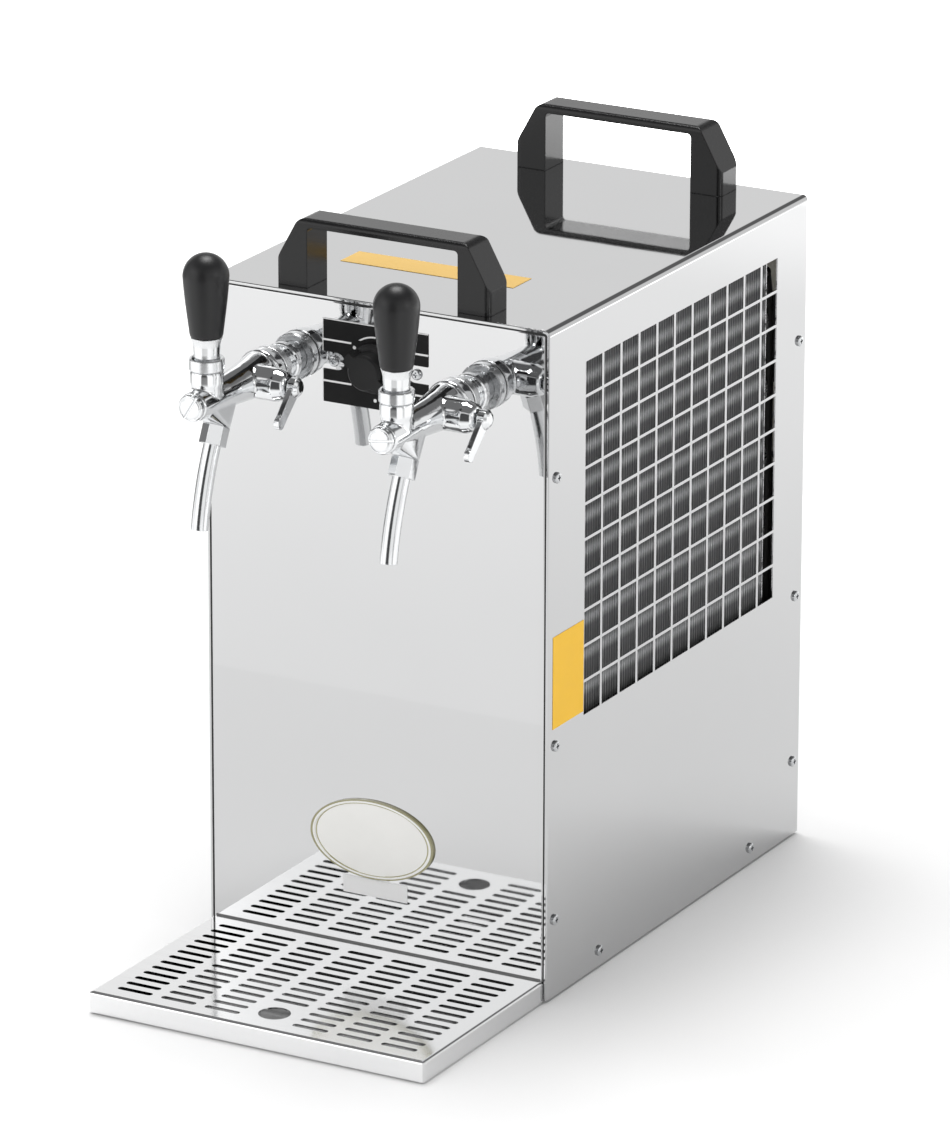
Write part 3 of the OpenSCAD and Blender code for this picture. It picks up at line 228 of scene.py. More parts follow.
def shader(tree, **inputs):
    """Adds the surface shader and the output."""
    surface = add(tree, "ShaderNodeBsdfPrincipled", spaced(inputs))
    add(tree, "ShaderNodeOutputMaterial", {"Surface": surface.outputs[0]})


# Shader node groups

def group(name, inputs, outputs):
    """Starts a shader node group of number sockets, and gives its tree, its inlet and its outlet."""
    made = bpy.data.node_groups.new(name, "ShaderNodeTree")
    for label, default in inputs.items():
        socket = made.interface.new_socket(name=label, in_out="INPUT", socket_type="NodeSocketFloat")
        socket.default_value = default
    for label in outputs:
        made.interface.new_socket(name=label, in_out="OUTPUT", socket_type="NodeSocketFloat")
    return made, add(made, "NodeGroupInput"), add(made, "NodeGroupOutput")


def blotch_group():
    """Cloudy mask and fine grain at their own scales, for uneven gloss and colour."""
    tree, inlet, outlet = group("Blotches", {"Scale": 8.0, "Fine": 160.0}, ("Cloud", "Grain"))
    place = add(tree, "ShaderNodeTexCoord").outputs["Object"]
    for index, detail in enumerate((3.0, 2.0)):
        inputs = {"Vector": place, "Scale": inlet.outputs[index], "Detail": detail, "Roughness": 0.55}
        noise = add(tree, "ShaderNodeTexNoise", inputs)
        tree.links.new(noise.outputs[0], outlet.inputs[index])


def hairline_group():
    """Fine polishing lines: noise drawn out along one axis, as a mask."""
    closeness = {"Along X": 12.0, "Along Y": 12.0, "Along Z": 900.0}
    tree, inlet, outlet = group("Hairlines", closeness, ("Lines",))
    place = add(tree, "ShaderNodeTexCoord").outputs["Object"]
    scale = add(tree, "ShaderNodeCombineXYZ", {index: inlet.outputs[index] for index in range(3)}).outputs[0]
    drawn = add(tree, "ShaderNodeVectorMath", {0: place, 1: scale}, operation="MULTIPLY").outputs[0]
    noise = add(tree, "ShaderNodeTexNoise", {"Vector": drawn, "Scale": 1.0, "Detail": 2.0})
    tree.links.new(noise.outputs[0], outlet.inputs[0])


def use_group(tree, name, **inputs):
    """Places a node group with its own values, and gives its outputs."""
    return add(tree, "ShaderNodeGroup", spaced(inputs), node_tree=bpy.data.node_groups[name]).outputs


# Materials

def sheet_metal(name, colour, rough, lines=(12.0, 12.0, 900.0), wave=0.0, dull=0.0, painted_shade=None):
    """Polished or plain sheet: uneven gloss, faint polishing lines and a slight waviness.

    lines says how close the polishing lines lie along X, Y and Z, wave how deep the waviness is and dull how
    far grime hides the shine. The last argument, a function, gives the mask of the parts darkened with
    painted shade.
    """
    grime, painted_shade_share, line_depth = 0.6, 0.1, 0.004
    material, tree = tree_of(name)
    cloud, grain = use_group(tree, "Blotches", Scale=5.0, Fine=220.0)
    line = use_group(tree, "Hairlines", Along_X=lines[0], Along_Y=lines[1], Along_Z=lines[2])[0]
    tone = uneven_colour(tree, cloud, colour, dark=0.97, pale=1.02)
    if dull:
        tone = mix_colour(tree, spread(tree, grain, 0.0, dull), tone, rgba(colour, grime))
    # Painted shade: the given mask darkens these parts towards a tenth of the colour.
    if painted_shade:
        tone = mix_colour(tree, painted_shade(tree), tone, rgba(colour, painted_shade_share))
    height = math_node(tree, "ADD", product(tree, cloud, wave), product(tree, line, line_depth))
    shader(tree, Metallic=1.0, Base_Color=tone,
           Roughness=uneven_gloss(tree, product(tree, cloud, line), rough, least=0.6, most=1.9),
           Normal=bump(tree, height, strength=0.25, distance=0.001))
    return material


def chrome_plate(name, colour, rough):
    """Chromed casting: mirror gloss with a little orange peel and finger marks."""
    material, tree = tree_of(name)
    cloud, grain = use_group(tree, "Blotches", Scale=60.0, Fine=420.0)
    edges = rounded(tree, radius=0.0009)
    shader(tree, Metallic=1.0,
           Base_Color=uneven_colour(tree, cloud, colour, dark=0.94, pale=1.03),
           Roughness=uneven_gloss(tree, cloud, rough, least=0.4, most=1.8),
           Normal=bump(tree, grain, strength=0.02, distance=0.0004, normal=edges))
    return material


def moulding(name, colour, rough, grain=0.15, scale=900.0, edge=0.0006, sheen=0.5):
    """Moulded plastic, rubber or paint: fine grain, uneven gloss and softened edges."""
    material, tree = tree_of(name)
    cloud, skin = use_group(tree, "Blotches", Scale=14.0, Fine=scale)
    shader(tree, Specular_IOR_Level=sheen,
           Base_Color=uneven_colour(tree, cloud, colour, dark=0.86, pale=1.14),
           Roughness=uneven_gloss(tree, cloud, rough, least=0.8, most=1.25),
           Normal=bump(tree, skin, strength=grain, distance=0.0003, normal=rounded(tree, edge)))
    return material


def fin_stock(name, colour):
    """Dusty fins, with a painted highlight in a band along each tube, where their collars catch the light.
    """
    tube_radius, tube_gaps, sharpness, glint = 0.00475, 9, 4.0, 3.2
    low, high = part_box("condenser_tubes")
    spacing = (high.z - low.z - 2 * tube_radius) / tube_gaps
    material, tree = tree_of(name)
    height = math_node(tree, "SUBTRACT", position(tree)[2], low.z + tube_radius)
    row = math_node(tree, "COSINE", product(tree, height, 2 * math.pi / spacing))
    # Painted highlight: a pale band along each row of tubes, over the fins' own colour.
    collar = math_node(tree, "POWER", spread(tree, row, low=0.5, high=1.0), sharpness)
    _, grain = use_group(tree, "Blotches", Scale=30.0, Fine=400.0)
    glint_mask = product(tree, collar, spread(tree, grain, low=0.5, high=1.3))
    shader(tree, Metallic=0.35, Roughness=0.5,
           Base_Color=uneven_colour(tree, glint_mask, colour, dark=1.0, pale=glint),
           Normal=bump(tree, grain, strength=0.2, distance=0.0004))
    return material


def dark_end(tree, x, y, left, depth, width):
    """Mask of the painted shade at the drip pan's dark end: by the front panel and along the left wall.

    depth and width say how far from the panel and from the left side it starts to fade and where it ends.
    """
    deep = ramp(tree, y, PANEL_Y - depth[1], PANEL_Y - depth[0])
    wall = ramp(tree, x, left + width[1], left + width[0])
    return either(tree, deep, wall)


def grate_painted_shade(tree):
    """Mask of the grate's painted shade: slot walls over the pan's dark end, and the right flange, darkened
    as a painted reflection of the shaded floor beside the casing.
    """
    rim, steep, flange_share = 0.006, 0.5, 0.22
    low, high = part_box("drip_grate")
    x, y, _ = position(tree)
    facing = parts_of(tree, add(tree, "ShaderNodeNewGeometry").outputs["Normal"])
    wall = math_node(tree, "LESS_THAN", math_node(tree, "ABSOLUTE", facing[2]), steep)
    across = band(tree, x, low.x + rim, high.x - rim)
    along = band(tree, y, low.y + rim, high.y - rim)
    end = dark_end(tree, x, y, low.x, depth=(0.085, 0.110), width=(0.046, 0.052))
    # Painted shade on the slot walls over the pan's dark end and on the right flange.
    slots = product(tree, wall, product(tree, across, along), end)
    rightmost = math_node(tree, "GREATER_THAN", x, high.x - rim)
    flange = product(tree, rightmost, math_node(tree, "GREATER_THAN", facing[0], steep))
    return math_node(tree, "ADD", slots, product(tree, flange, flange_share))


def pan_sheet(name, pale, dark):
    """Inside of the drip pan: darkened with painted shade along its left wall and at its deep end, by the
    panel.
    """
    material, tree = tree_of(name)
    x, y, _ = position(tree)
    end = dark_end(tree, x, y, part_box("drip_tray")[0].x, depth=(0.045, 0.070), width=(0.030, 0.042))
    cloud, grain = use_group(tree, "Blotches", Scale=25.0, Fine=300.0)
    # Painted shade: the pan darkens at its deep end and along its left wall.
    painted_shade = product(tree, end, spread(tree, cloud, low=0.7, high=1.2))
    shader(tree, Metallic=1.0, Roughness=0.16,
           Base_Color=mix_colour(tree, painted_shade, rgba(pale), rgba(dark)),
           Normal=bump(tree, grain, strength=0.05, distance=0.0003))
    return material


def badge_enamel(name, cream):
    """Enamel of the bare oval badge: a pale field, a fine line round it and a darker rim."""
    line, rim = (0.90, 0.92), (0.965, 2.0)
    low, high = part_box("badge_plate")
    middle, half = (low + high) / 2, (high - low) / 2
    material, tree = tree_of(name)
    x, _, z = position(tree)
    across = math_node(tree, "DIVIDE", math_node(tree, "SUBTRACT", x, middle.x), half.x)
    up = math_node(tree, "DIVIDE", math_node(tree, "SUBTRACT", z, middle.z), half.z)
    radius = reach(tree, across, up)
    cloud, grain = use_group(tree, "Blotches", Scale=40.0, Fine=700.0)
    tone = uneven_colour(tree, cloud, cream, dark=0.97, pale=1.03)
    tone = mix_colour(tree, band(tree, radius, *line), tone, rgba(BADGE_LINE))
    tone = mix_colour(tree, band(tree, radius, *rim), tone, rgba(BADGE_RIM))
    shader(tree, Roughness=0.22, Coat_Weight=0.4, Coat_Roughness=0.08, Base_Color=tone,
           Normal=bump(tree, grain, strength=0.05, distance=0.0003))
    return material


def label_film(name, yellow):
    """Film of the blank labels: yellow on the side, on the top a darker, less saturated yellow as painted
    sheen and shade, and white on the front.
    """
    margin = 0.002
    material, tree = tree_of(name)
    _, y, z = position(tree)
    cloud, grain = use_group(tree, "Blotches", Scale=30.0, Fine=500.0)
    on_top = math_node(tree, "GREATER_THAN", z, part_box("outer_cover")[1].z - margin)
    in_front = math_node(tree, "LESS_THAN", y, PANEL_Y + margin)
    tone = uneven_colour(tree, cloud, yellow, dark=0.95, pale=1.05)
    # Painted sheen and shade: the top label gets a darker, less saturated yellow.
    tone = mix_colour(tree, on_top, tone, uneven_pair(tree, cloud, LABEL_TOP_PAINTED_LIGHT))
    tone = mix_colour(tree, in_front, tone, uneven_pair(tree, cloud, LABEL_WHITE))
    shader(tree, Roughness=0.38, Specular_IOR_Level=0.2, Base_Color=tone,
           Normal=bump(tree, grain, strength=0.08, distance=0.0002))
    return material


def dial_plate(name):
    """Black plate of the thermostat, with pale rules at its sides, a painted highlight along its left and
    top edges, and a plain scale.
    """
    rule, rule_start = (0.0143, 0.0157), 0.019
    left_highlight_width, top_highlight_width = 0.0006, 0.0005
    low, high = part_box("thermostat_plate")
    material, tree = tree_of(name)
    x, _, z = position(tree)
    away = math_node(tree, "ABSOLUTE", x)
    up = math_node(tree, "SUBTRACT", z, (low.z + high.z) / 2)
    level = band(tree, math_node(tree, "ABSOLUTE", up), *rule)
    rules = product(tree, level, math_node(tree, "GREATER_THAN", away, rule_start))
    # Painted highlight: thin pale strips along the plate's left and top edges, in the same colour as the
    # print.
    left = math_node(tree, "LESS_THAN", x, low.x + left_highlight_width)
    top = math_node(tree, "GREATER_THAN", z, high.z - top_highlight_width)
    marks = either(tree, rules, left, top, dial_scale(tree, away, up))
    cloud, grain = use_group(tree, "Blotches", Scale=50.0, Fine=900.0)
    shader(tree, Roughness=0.35, Specular_IOR_Level=0.07,
           Base_Color=mix_colour(tree, marks, uneven_pair(tree, cloud, DIAL_BLACK), rgba(DIAL_PRINT_AND_HIGHLIGHT)),
           Normal=bump(tree, grain, strength=0.1, distance=0.0002))
    return material


def dial_scale(tree, away, up):
    """Mask of the plain marks round the dial: an arc over it, a dot at each end and one at the foot."""
    ring, half_line, arc_foot, dot = 0.0218, 0.0006, 0.018, 0.0013
    ends, foot = (0.0165, 0.0122), (0.0, -0.0240)
    circle = band(tree, reach(tree, away, up), ring - half_line, ring + half_line)
    marks = product(tree, circle, math_node(tree, "GREATER_THAN", up, arc_foot))
    for across, height in (ends, foot):
        aside = math_node(tree, "SUBTRACT", away, across)
        above = math_node(tree, "SUBTRACT", up, height)
        marks = either(tree, marks, math_node(tree, "LESS_THAN", reach(tree, aside, above), dot))
    return marks


def wear(material, *targets):
    """Gives CAD nodes, by their names, or made pieces their one material."""
    for target in targets:
        made = NODES[target] if isinstance(target, str) else target
        made.data.materials.clear()
        made.data.materials.append(material)


# Pieces

def piece(name, mesh, body, material, *nodes):
    """Links a made mesh as a piece that rides on a body and stands for CAD nodes."""
    made = bpy.data.objects.new(name, mesh)
    bpy.context.scene.collection.objects.link(made)
    wear(material, made)
    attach(made, body)
    if nodes:
        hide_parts(*nodes)


def mesh_of(name, made):
    """Finishes a bmesh: normals outwards, smooth but for its sharp edges."""
    bmesh.ops.recalc_face_normals(made, faces=made.faces)
    mesh = bpy.data.meshes.new(name)
    made.to_mesh(mesh)
    made.free()
    mesh.shade_smooth()
    mesh.set_sharp_from_angle(angle=SHARP_TURN)
    return mesh


def lathe(name, outline, axis=(0.0, 0.0), segments=96):
    """Turns an outline of (radius, height) points, from axis to axis, about an upright axis."""
    made = bmesh.new()
    turns = [2 * math.pi * i / segments for i in range(segments)]
    rings = []
    for radius, height in outline:
        used = turns if radius > 0 else turns[:1]
        spots = [(axis[0] + radius * math.cos(a), axis[1] + radius * math.sin(a), height) for a in used]
        rings.append([made.verts.new(spot) for spot in spots])
    for low, high in zip(rings, rings[1:]):
        for i in range(segments):
            j = (i + 1) % segments
            corners = [low[i % len(low)], low[j % len(low)], high[j % len(high)], high[i % len(high)]]
            made.faces.new(list(dict.fromkeys(corners)))
    return mesh_of(name, made)


def bead(name, path, width, front, back):
    """Thin strip along a path of (x, z) points, between two depths in Y."""
    made = bmesh.new()
    rings = []
    for i, point in enumerate(path):
        along = (path[min(i + 1, len(path) - 1)] - path[max(i - 1, 0)]).normalized()
        side = Vector((-along.y, along.x)) * width / 2
        corners = ((point + side, front), (point - side, front), (point - side, back), (point + side, back))
        rings.append([made.verts.new((spot.x, depth, spot.y)) for spot, depth in corners])
    for low, high in zip(rings, rings[1:]):
        for i in range(len(low)):
            j = (i + 1) % len(low)
            made.faces.new((low[i], low[j], high[j], high[i]))
    made.faces.new(rings[0])
    made.faces.new(rings[-1])
    return mesh_of(name, made)


def cast(name, node, voxel, rounds):
    """A casting's rounded copy of a CAD node: remeshed evenly, then smoothed so its corners run together."""
    rough = bpy.data.objects.new(name, NODES[node].data.copy())
    bpy.context.scene.collection.objects.link(rough)
    even = rough.modifiers.new("Even", "REMESH")
    even.mode = "VOXEL"
    even.voxel_size = voxel
    soft = rough.modifiers.new("Soft", "SMOOTH")
    soft.factor = 0.5
    soft.iterations = rounds
    mesh = bpy.data.meshes.new_from_object(rough.evaluated_get(bpy.context.evaluated_depsgraph_get()))
    mesh.name = name
    bpy.data.objects.remove(rough)
    mesh.shade_smooth()
    return mesh


def arc(across, up, radius, first, last, step):
    """Points of an arc about a centre, from one turn to another, in whole degrees."""
    turns = [math.radians(a) for a in range(first, last + 1, step)]
    return [(across + radius * math.cos(turn), up + radius * math.sin(turn)) for turn in turns]


def knob_outline(low, high):
    """Side of a lever knob: rounded foot, taper that swells, half-ball top."""
    foot, steps = 0.0116, 24
    foot_edge = ((0.0012, 0.0), (0.0004, 0.0003), (0.0, 0.0011))
    radius = (high.x - low.x) / 2
    crown = high.z - radius
    points = [(0.0, low.z)]
    points += [(foot - inset, low.z + rise) for inset, rise in foot_edge]
    taper_foot = points[-1][1]
    for i in range(1, steps + 1):
        t = i / steps
        swell = 1.15 * t + 0.2 * t ** 2 - 0.35 * t ** 3
        points.append((foot + (radius - foot) * swell, taper_foot + (crown - taper_foot) * t))
    return points + arc(0.0, crown, radius, first=4, last=88, step=4) + [(0.0, high.z)]


def ferrule_outline(low, high):
    """Side of a lever's ferrule: a sleeve that flares up to the knob, closed at both ends."""
    neck, lip, edge, steps = 0.0092, 0.0112, 0.0004, 12
    points = [(0.0, low), (neck, low)]
    for i in range(1, steps + 1):
        t = i / steps
        points.append((neck + (lip - neck) * t ** 3, low + (high - low - edge) * t))
    return points + [(lip - edge, high), (0.0, high)]


def drum_outline(rear, front, radius, rim):
    """Side of a plain drum: square at the rear, rounded over at the front, closed at both ends."""
    rounding = arc(radius - rim, front - rim, rim, first=0, last=90, step=10)
    return [(0.0, rear), (radius, rear)] + rounding + [(0.0, front)]


def lay_forward(mesh, x, z):
    """Turns an upright mesh so that its height runs forwards from the front panel, about a tap's axis."""
    mesh.transform(Matrix.Translation((x, PANEL_Y, z)) @ Matrix.Rotation(math.pi / 2, 4, "X"))
    return mesh


# Settings

class Looks(bpy.types.PropertyGroup):
    """Colours and finishes a user would change."""
    steel: FloatVectorProperty(
        name="Sheet steel", description="Colour of the polished casing",
        subtype="COLOR", size=3, min=0.0, max=1.0, default=(0.598, 0.600, 0.603))
    steel_rough: FloatProperty(
        name="Sheet roughness", description="Blur of the casing's reflections",
        subtype="FACTOR", min=0.0, max=1.0, default=0.03)
    grate: FloatVectorProperty(
        name="Grate steel", description="Colour of the drip grate",
        subtype="COLOR", size=3, min=0.0, max=1.0, default=(0.88, 0.882, 0.885))
    chrome: FloatVectorProperty(
        name="Chrome", description="Colour of the taps",
        subtype="COLOR", size=3, min=0.0, max=1.0, default=(0.80, 0.81, 0.82))
    black: FloatVectorProperty(
        name="Black plastic", description="Colour of the handles and the thermostat's knob",
        subtype="COLOR", size=3, min=0.0, max=1.0, default=(0.008, 0.008, 0.0083))
    knob: FloatVectorProperty(
        name="Knob black", description="Colour of the lever knobs",
        subtype="COLOR", size=3, min=0.0, max=1.0, default=(0.008, 0.008, 0.0088))
    fin: FloatVectorProperty(
        name="Fin stock", description="Colour of the condenser fins",
        subtype="COLOR", size=3, min=0.0, max=1.0, default=(0.20, 0.202, 0.205))
    label: FloatVectorProperty(
        name="Label yellow", description="Colour of the blank side label",
        subtype="COLOR", size=3, min=0.0, max=1.0, default=(0.88, 0.51, 0.02))
    badge: FloatVectorProperty(
        name="Badge cream", description="Colour of the badge's field",
        subtype="COLOR", size=3, min=0.0, max=1.0, default=(0.95, 0.945, 0.915))


class StageSettings(bpy.types.PropertyGroup):
    """Light and camera a user would change."""
    lens: FloatProperty(
        name="Lens", description="Focal length",
        unit="CAMERA", min=10.0, max=500.0, default=241.66)
    key: FloatProperty(
        name="Key light", description="Power of the main lamp",
        min=0.0, max=2000.0, default=50.0)
    screen: FloatProperty(
        name="Screen", description="Power of the large lamp at the left",
        min=0.0, max=2000.0, default=4.0)
    fill: FloatProperty(
        name="Fill light", description="Power of the right lamp",
        min=0.0, max=2000.0, default=4.0)
    floor: FloatProperty(
        name="Floor", description="Brightness of the floor's own colour",
        subtype="FACTOR", min=0.0, max=1.0, default=0.85)
    sweep: FloatProperty(
        name="Sweep", description="Glow of the floor far from the object",
        min=0.0, max=2.0, default=0.42)
    strip: FloatProperty(
        name="Strip", description="Glow of the lit strip of floor behind the object",
        min=0.0, max=5.0, default=2.8)
    apron: FloatProperty(
        name="Apron", description="Glow of the floor in front of the object",
        min=0.0, max=2.0, default=0.05)
    sky: FloatProperty(
        name="Surroundings", description="Light from all round",
        min=0.0, max=3.0, default=0.75)


# Operators

class DISPENSER_OT_groups(bpy.types.Operator):
    """Makes the shader node groups that the materials share"""
    bl_idname = "dispenser.groups"
    bl_label = "Shader groups"

    def execute(self, context):
        blotch_group()
        hairline_group()
        return {"FINISHED"}


class DISPENSER_OT_casing(bpy.types.Operator):
    """Dresses the casing sheets, base and feet, and makes the seam bead round the front panel and the grey
    strip of painted shade at its foot
    """
    bl_idname = "dispenser.casing"
    bl_label = "Casing"

    def execute(self, context):
        looks = context.scene.dispenser_looks
        # Painted shade: the cover and rear panel wear a darker copy of the front sheet's colour.
        cover_shade_share, cover_blur = 0.918, 1.2
        front = sheet_metal("Front sheet", looks.steel, looks.steel_rough, wave=0.35)
        cover = sheet_metal("Cover sheet", rgba(looks.steel, cover_shade_share), looks.steel_rough * cover_blur,
                            lines=(12.0, 12.0, 700.0), wave=0.35)
        wear(front, "front_panel")
        wear(cover, "outer_cover", "rear_panel")
        wear(sheet_metal("Base sheet", BASE_STEEL, rough=0.32, dull=0.5), "base_plate")
        wear(moulding("Foot rubber", FOOT_RUBBER, rough=0.7, grain=0.4), "rubber_feet")
        self.panel_seam()
        self.joint_shade_strip()
        return {"FINISHED"}

    def panel_seam(self):
        """Dark sealing bead in the groove round the front panel, from foot to foot."""
        inset, corner, foot = 0.0004, 0.0025, 0.006
        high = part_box("front_panel")[1]
        side, top = high.x - inset, high.z - inset
        bend = arc(side - corner, top - corner, corner, first=0, last=90, step=15)
        path = [Vector(spot) for spot in [(side, foot)] + bend]
        path += [Vector((-spot.x, spot.y)) for spot in reversed(path)]
        seam = bead("panel_seam", path, width=0.0014, front=PANEL_Y + 0.0002, back=PANEL_Y + 0.001)
        piece("panel_seam", seam, "casing", moulding("Seam rubber", SEAM_RUBBER, rough=0.6, grain=0.3))

    def joint_shade_strip(self):
        """Grey strip along the front panel where the drip tray meets it: painted shade of the joint there.
        """
        inset, lift = 0.0024, 0.0004
        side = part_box("front_panel")[1].x - inset
        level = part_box("drip_grate")[1].z + lift
        path = [Vector((-side, level)), Vector((side, level))]
        strip = bead("joint_shade_strip", path, width=0.0018, front=PANEL_Y - 0.0002, back=PANEL_Y - 0.00002)
        # Painted shade: a grey strip stands in for the shadowed joint between the tray and the panel.
        piece("joint_shade_strip", strip, "casing", moulding("Joint shade grey", JOINT_SHADE_GREY, rough=0.6, grain=0.3))


class DISPENSER_OT_screws(bpy.types.Operator):
    """Dresses the screws, nuts and pins"""
    bl_idname = "dispenser.screws"
    bl_label = "Screws"

    def execute(self, context):
        zinc = sheet_metal("Screw zinc", SCREW_ZINC, rough=0.2, lines=(300.0, 300.0, 300.0), dull=0.3)
        wear(zinc, "cover_screws", "handle_screws", "thermostat_screws")
        wear(zinc, "inlet_nuts", "shank_nuts", "lever_pins")
        return {"FINISHED"}


class DISPENSER_OT_handles(bpy.types.Operator):
    """Dresses the carrying handles and the rear fittings"""
    bl_idname = "dispenser.handles"
    bl_label = "Handles"

    def execute(self, context):
        looks = context.scene.dispenser_looks
        black = moulding("Handle plastic", looks.black, rough=0.2, grain=0.06, edge=0.0012, sheen=0.35)
        wear(black, "front_handle", "rear_handle", "beer_inlets", "cord_gland")
        return {"FINISHED"}


class DISPENSER_OT_badge(bpy.types.Operator):
    """Dresses the bare badge and the blank labels"""
    bl_idname = "dispenser.badge"
    bl_label = "Badge and labels"

    def execute(self, context):
        looks = context.scene.dispenser_looks
        wear(badge_enamel("Badge enamel", looks.badge), "badge_plate")
        wear(label_film("Label film", looks.label), "blank_labels")
        return {"FINISHED"}


class DISPENSER_OT_thermostat(bpy.types.Operator):
    """Dresses the thermostat's plate, knob and body"""
    bl_idname = "dispenser.thermostat"
    bl_label = "Thermostat"

    def execute(self, context):
        looks = context.scene.dispenser_looks
        wear(dial_plate("Dial plate"), "thermostat_plate")
        wear(moulding("Dial knob plastic", looks.black, rough=0.4, grain=0.2, sheen=0.25), "thermostat_knob")
        wear(sheet_metal("Thermostat steel", THERMOSTAT_STEEL, rough=0.3, dull=0.3), "thermostat_body")
        return {"FINISHED"}


class DISPENSER_OT_taps(bpy.types.Operator):
    """Dresses the taps, and makes their knobs, ferrules, seals, sleeves and rounded bodies"""
    bl_idname = "dispenser.taps"
    bl_label = "Taps"

    def execute(self, context):
        looks = context.scene.dispenser_looks
        chrome = chrome_plate("Tap chrome", looks.chrome, rough=0.05)
        satin = chrome_plate("Satin chrome", looks.chrome, rough=0.22)
        knob = moulding("Knob plastic", looks.knob, rough=0.38, grain=0.02, scale=500.0, sheen=0.42)
        seal = moulding("Seal rubber", SEAL_RUBBER, rough=0.5, grain=0.1)
        plated = ("tap_shank", "tap_body", "tap_cap", "tap_spout", "tap_plunger", "tap_lever", "tap_knob",
                  "flow_lever", "flow_cone")
        wear(satin, "bonnet_nuts")
        for side in SIDES:
            wear(chrome, *(f"{side}_{part}" for part in plated))
            wear(satin, f"{side}_tap_collar")
            self.lever(side, knob, satin)
            self.collar(side, seal, chrome)
            body = cast(f"{side}_cast_body", f"{side}_tap_body", voxel=0.0007, rounds=10)
            piece(f"{side}_cast_body", body, "casing", chrome, f"{side}_tap_body")
        return {"FINISHED"}

    def lever(self, side, plastic, satin):
        """Turned knob of a lever, and the ferrule between the knob and the nut."""
        nut_gap, knob_gap = 0.0004, 0.0002
        low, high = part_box(f"{side}_tap_knob")
        middle = (low + high) / 2
        knob = lathe(f"{side}_knob", knob_outline(low, high), middle)
        piece(f"{side}_knob", knob, f"{side}_lever", plastic, f"{side}_tap_knob")
        nut_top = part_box("bonnet_nuts")[1].z
        outline = ferrule_outline(nut_top + nut_gap, low.z - knob_gap)
        piece(f"{side}_ferrule", lathe(f"{side}_ferrule", outline, middle), f"{side}_lever", satin)

    def collar(self, side, rubber, chrome):
        """Black seal in the groove of a tap's collar, and the polished sleeve in front of it."""
        seal_rear, seal_front, sleeve_front = 0.0214, 0.0240, 0.0333
        seal = drum_outline(seal_rear, seal_front, radius=0.0166, rim=0.0002)
        sleeve = drum_outline(seal_front, sleeve_front, radius=0.0173, rim=0.0026)
        low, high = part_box(f"{side}_tap_shank")
        middle = (low + high) / 2
        for name, outline, material in (("seal", seal, rubber), ("sleeve", sleeve, chrome)):
            drum = lay_forward(lathe(f"{side}_{name}", outline), middle.x, middle.z)
            piece(f"{side}_{name}", drum, "casing", material)


class DISPENSER_OT_tray(bpy.types.Operator):
    """Dresses the drip tray and its grate"""
    bl_idname = "dispenser.tray"
    bl_label = "Drip tray"

    def execute(self, context):
        looks = context.scene.dispenser_looks
        grate = sheet_metal("Grate sheet", looks.grate, rough=0.12, lines=(14.0, 500.0, 500.0), wave=0.2,
                            painted_shade=grate_painted_shade)
        wear(grate, "drip_grate")
        wear(pan_sheet("Tray sheet", PAN_STEEL, PAN_PAINTED_SHADE), "drip_tray")
        return {"FINISHED"}


class DISPENSER_OT_cooling(bpy.types.Operator):
    """Dresses the cooling plant inside the casing"""
    bl_idname = "dispenser.cooling"
    bl_label = "Cooling plant"

    def execute(self, context):
        self.condenser(context.scene.dispenser_looks)
        self.plant()
        self.pipes()
        return {"FINISHED"}

    def condenser(self, looks):
        """Tubes, fins and frame behind the grille, and the fan that blows through them."""
        wear(sheet_metal("Condenser tube", CONDENSER_STEEL, rough=0.3, dull=0.4), "condenser_tubes")
        wear(fin_stock("Fin stock", looks.fin), "condenser_fins")
        wear(sheet_metal("Condenser frame", FRAME_STEEL, rough=0.3, dull=0.4), "condenser_frame")
        wear(moulding("Shroud paint", SHROUD_PAINT, rough=0.45, scale=400.0), "fan_shroud")
        wear(moulding("Motor paint", MOTOR_PAINT, rough=0.45, scale=400.0), "fan_motor")
        wear(moulding("Fan plastic", FAN_PLASTIC, rough=0.45, scale=500.0), "fan_blades")

    def plant(self):
        """Compressor on its mounts, and the block that chills the beer."""
        enamel = moulding("Compressor enamel", COMPRESSOR_ENAMEL, rough=0.35, grain=0.2, scale=300.0)
        wear(enamel, "compressor")
        wear(moulding("Mount rubber", MOUNT_RUBBER, rough=0.7, grain=0.4), "compressor_mounts")
        wear(sheet_metal("Block aluminium", BLOCK_ALUMINIUM, rough=0.4, dull=0.4), "cooling_block")
        wear(moulding("Foam", BLOCK_FOAM, rough=0.85, grain=0.5, scale=350.0), "block_insulation")

    def pipes(self):
        """Bare and sleeved pipes of the plant, and the pipes of the beer."""
        copper = sheet_metal("Copper tube", COPPER, rough=0.22, lines=(200.0, 200.0, 200.0), dull=0.4)
        wear(copper, "suction_pipe", "filter_drier")
        sleeve = moulding("Pipe sleeve", PIPE_SLEEVE, rough=0.6, grain=0.3)
        wear(sleeve, "discharge_pipe", "capillary_tube")
        steel = sheet_metal("Beer pipe", BEER_PIPE, rough=0.2, lines=(60.0, 60.0, 60.0))
        wear(steel, "inlet_pipes", "outlet_pipes")


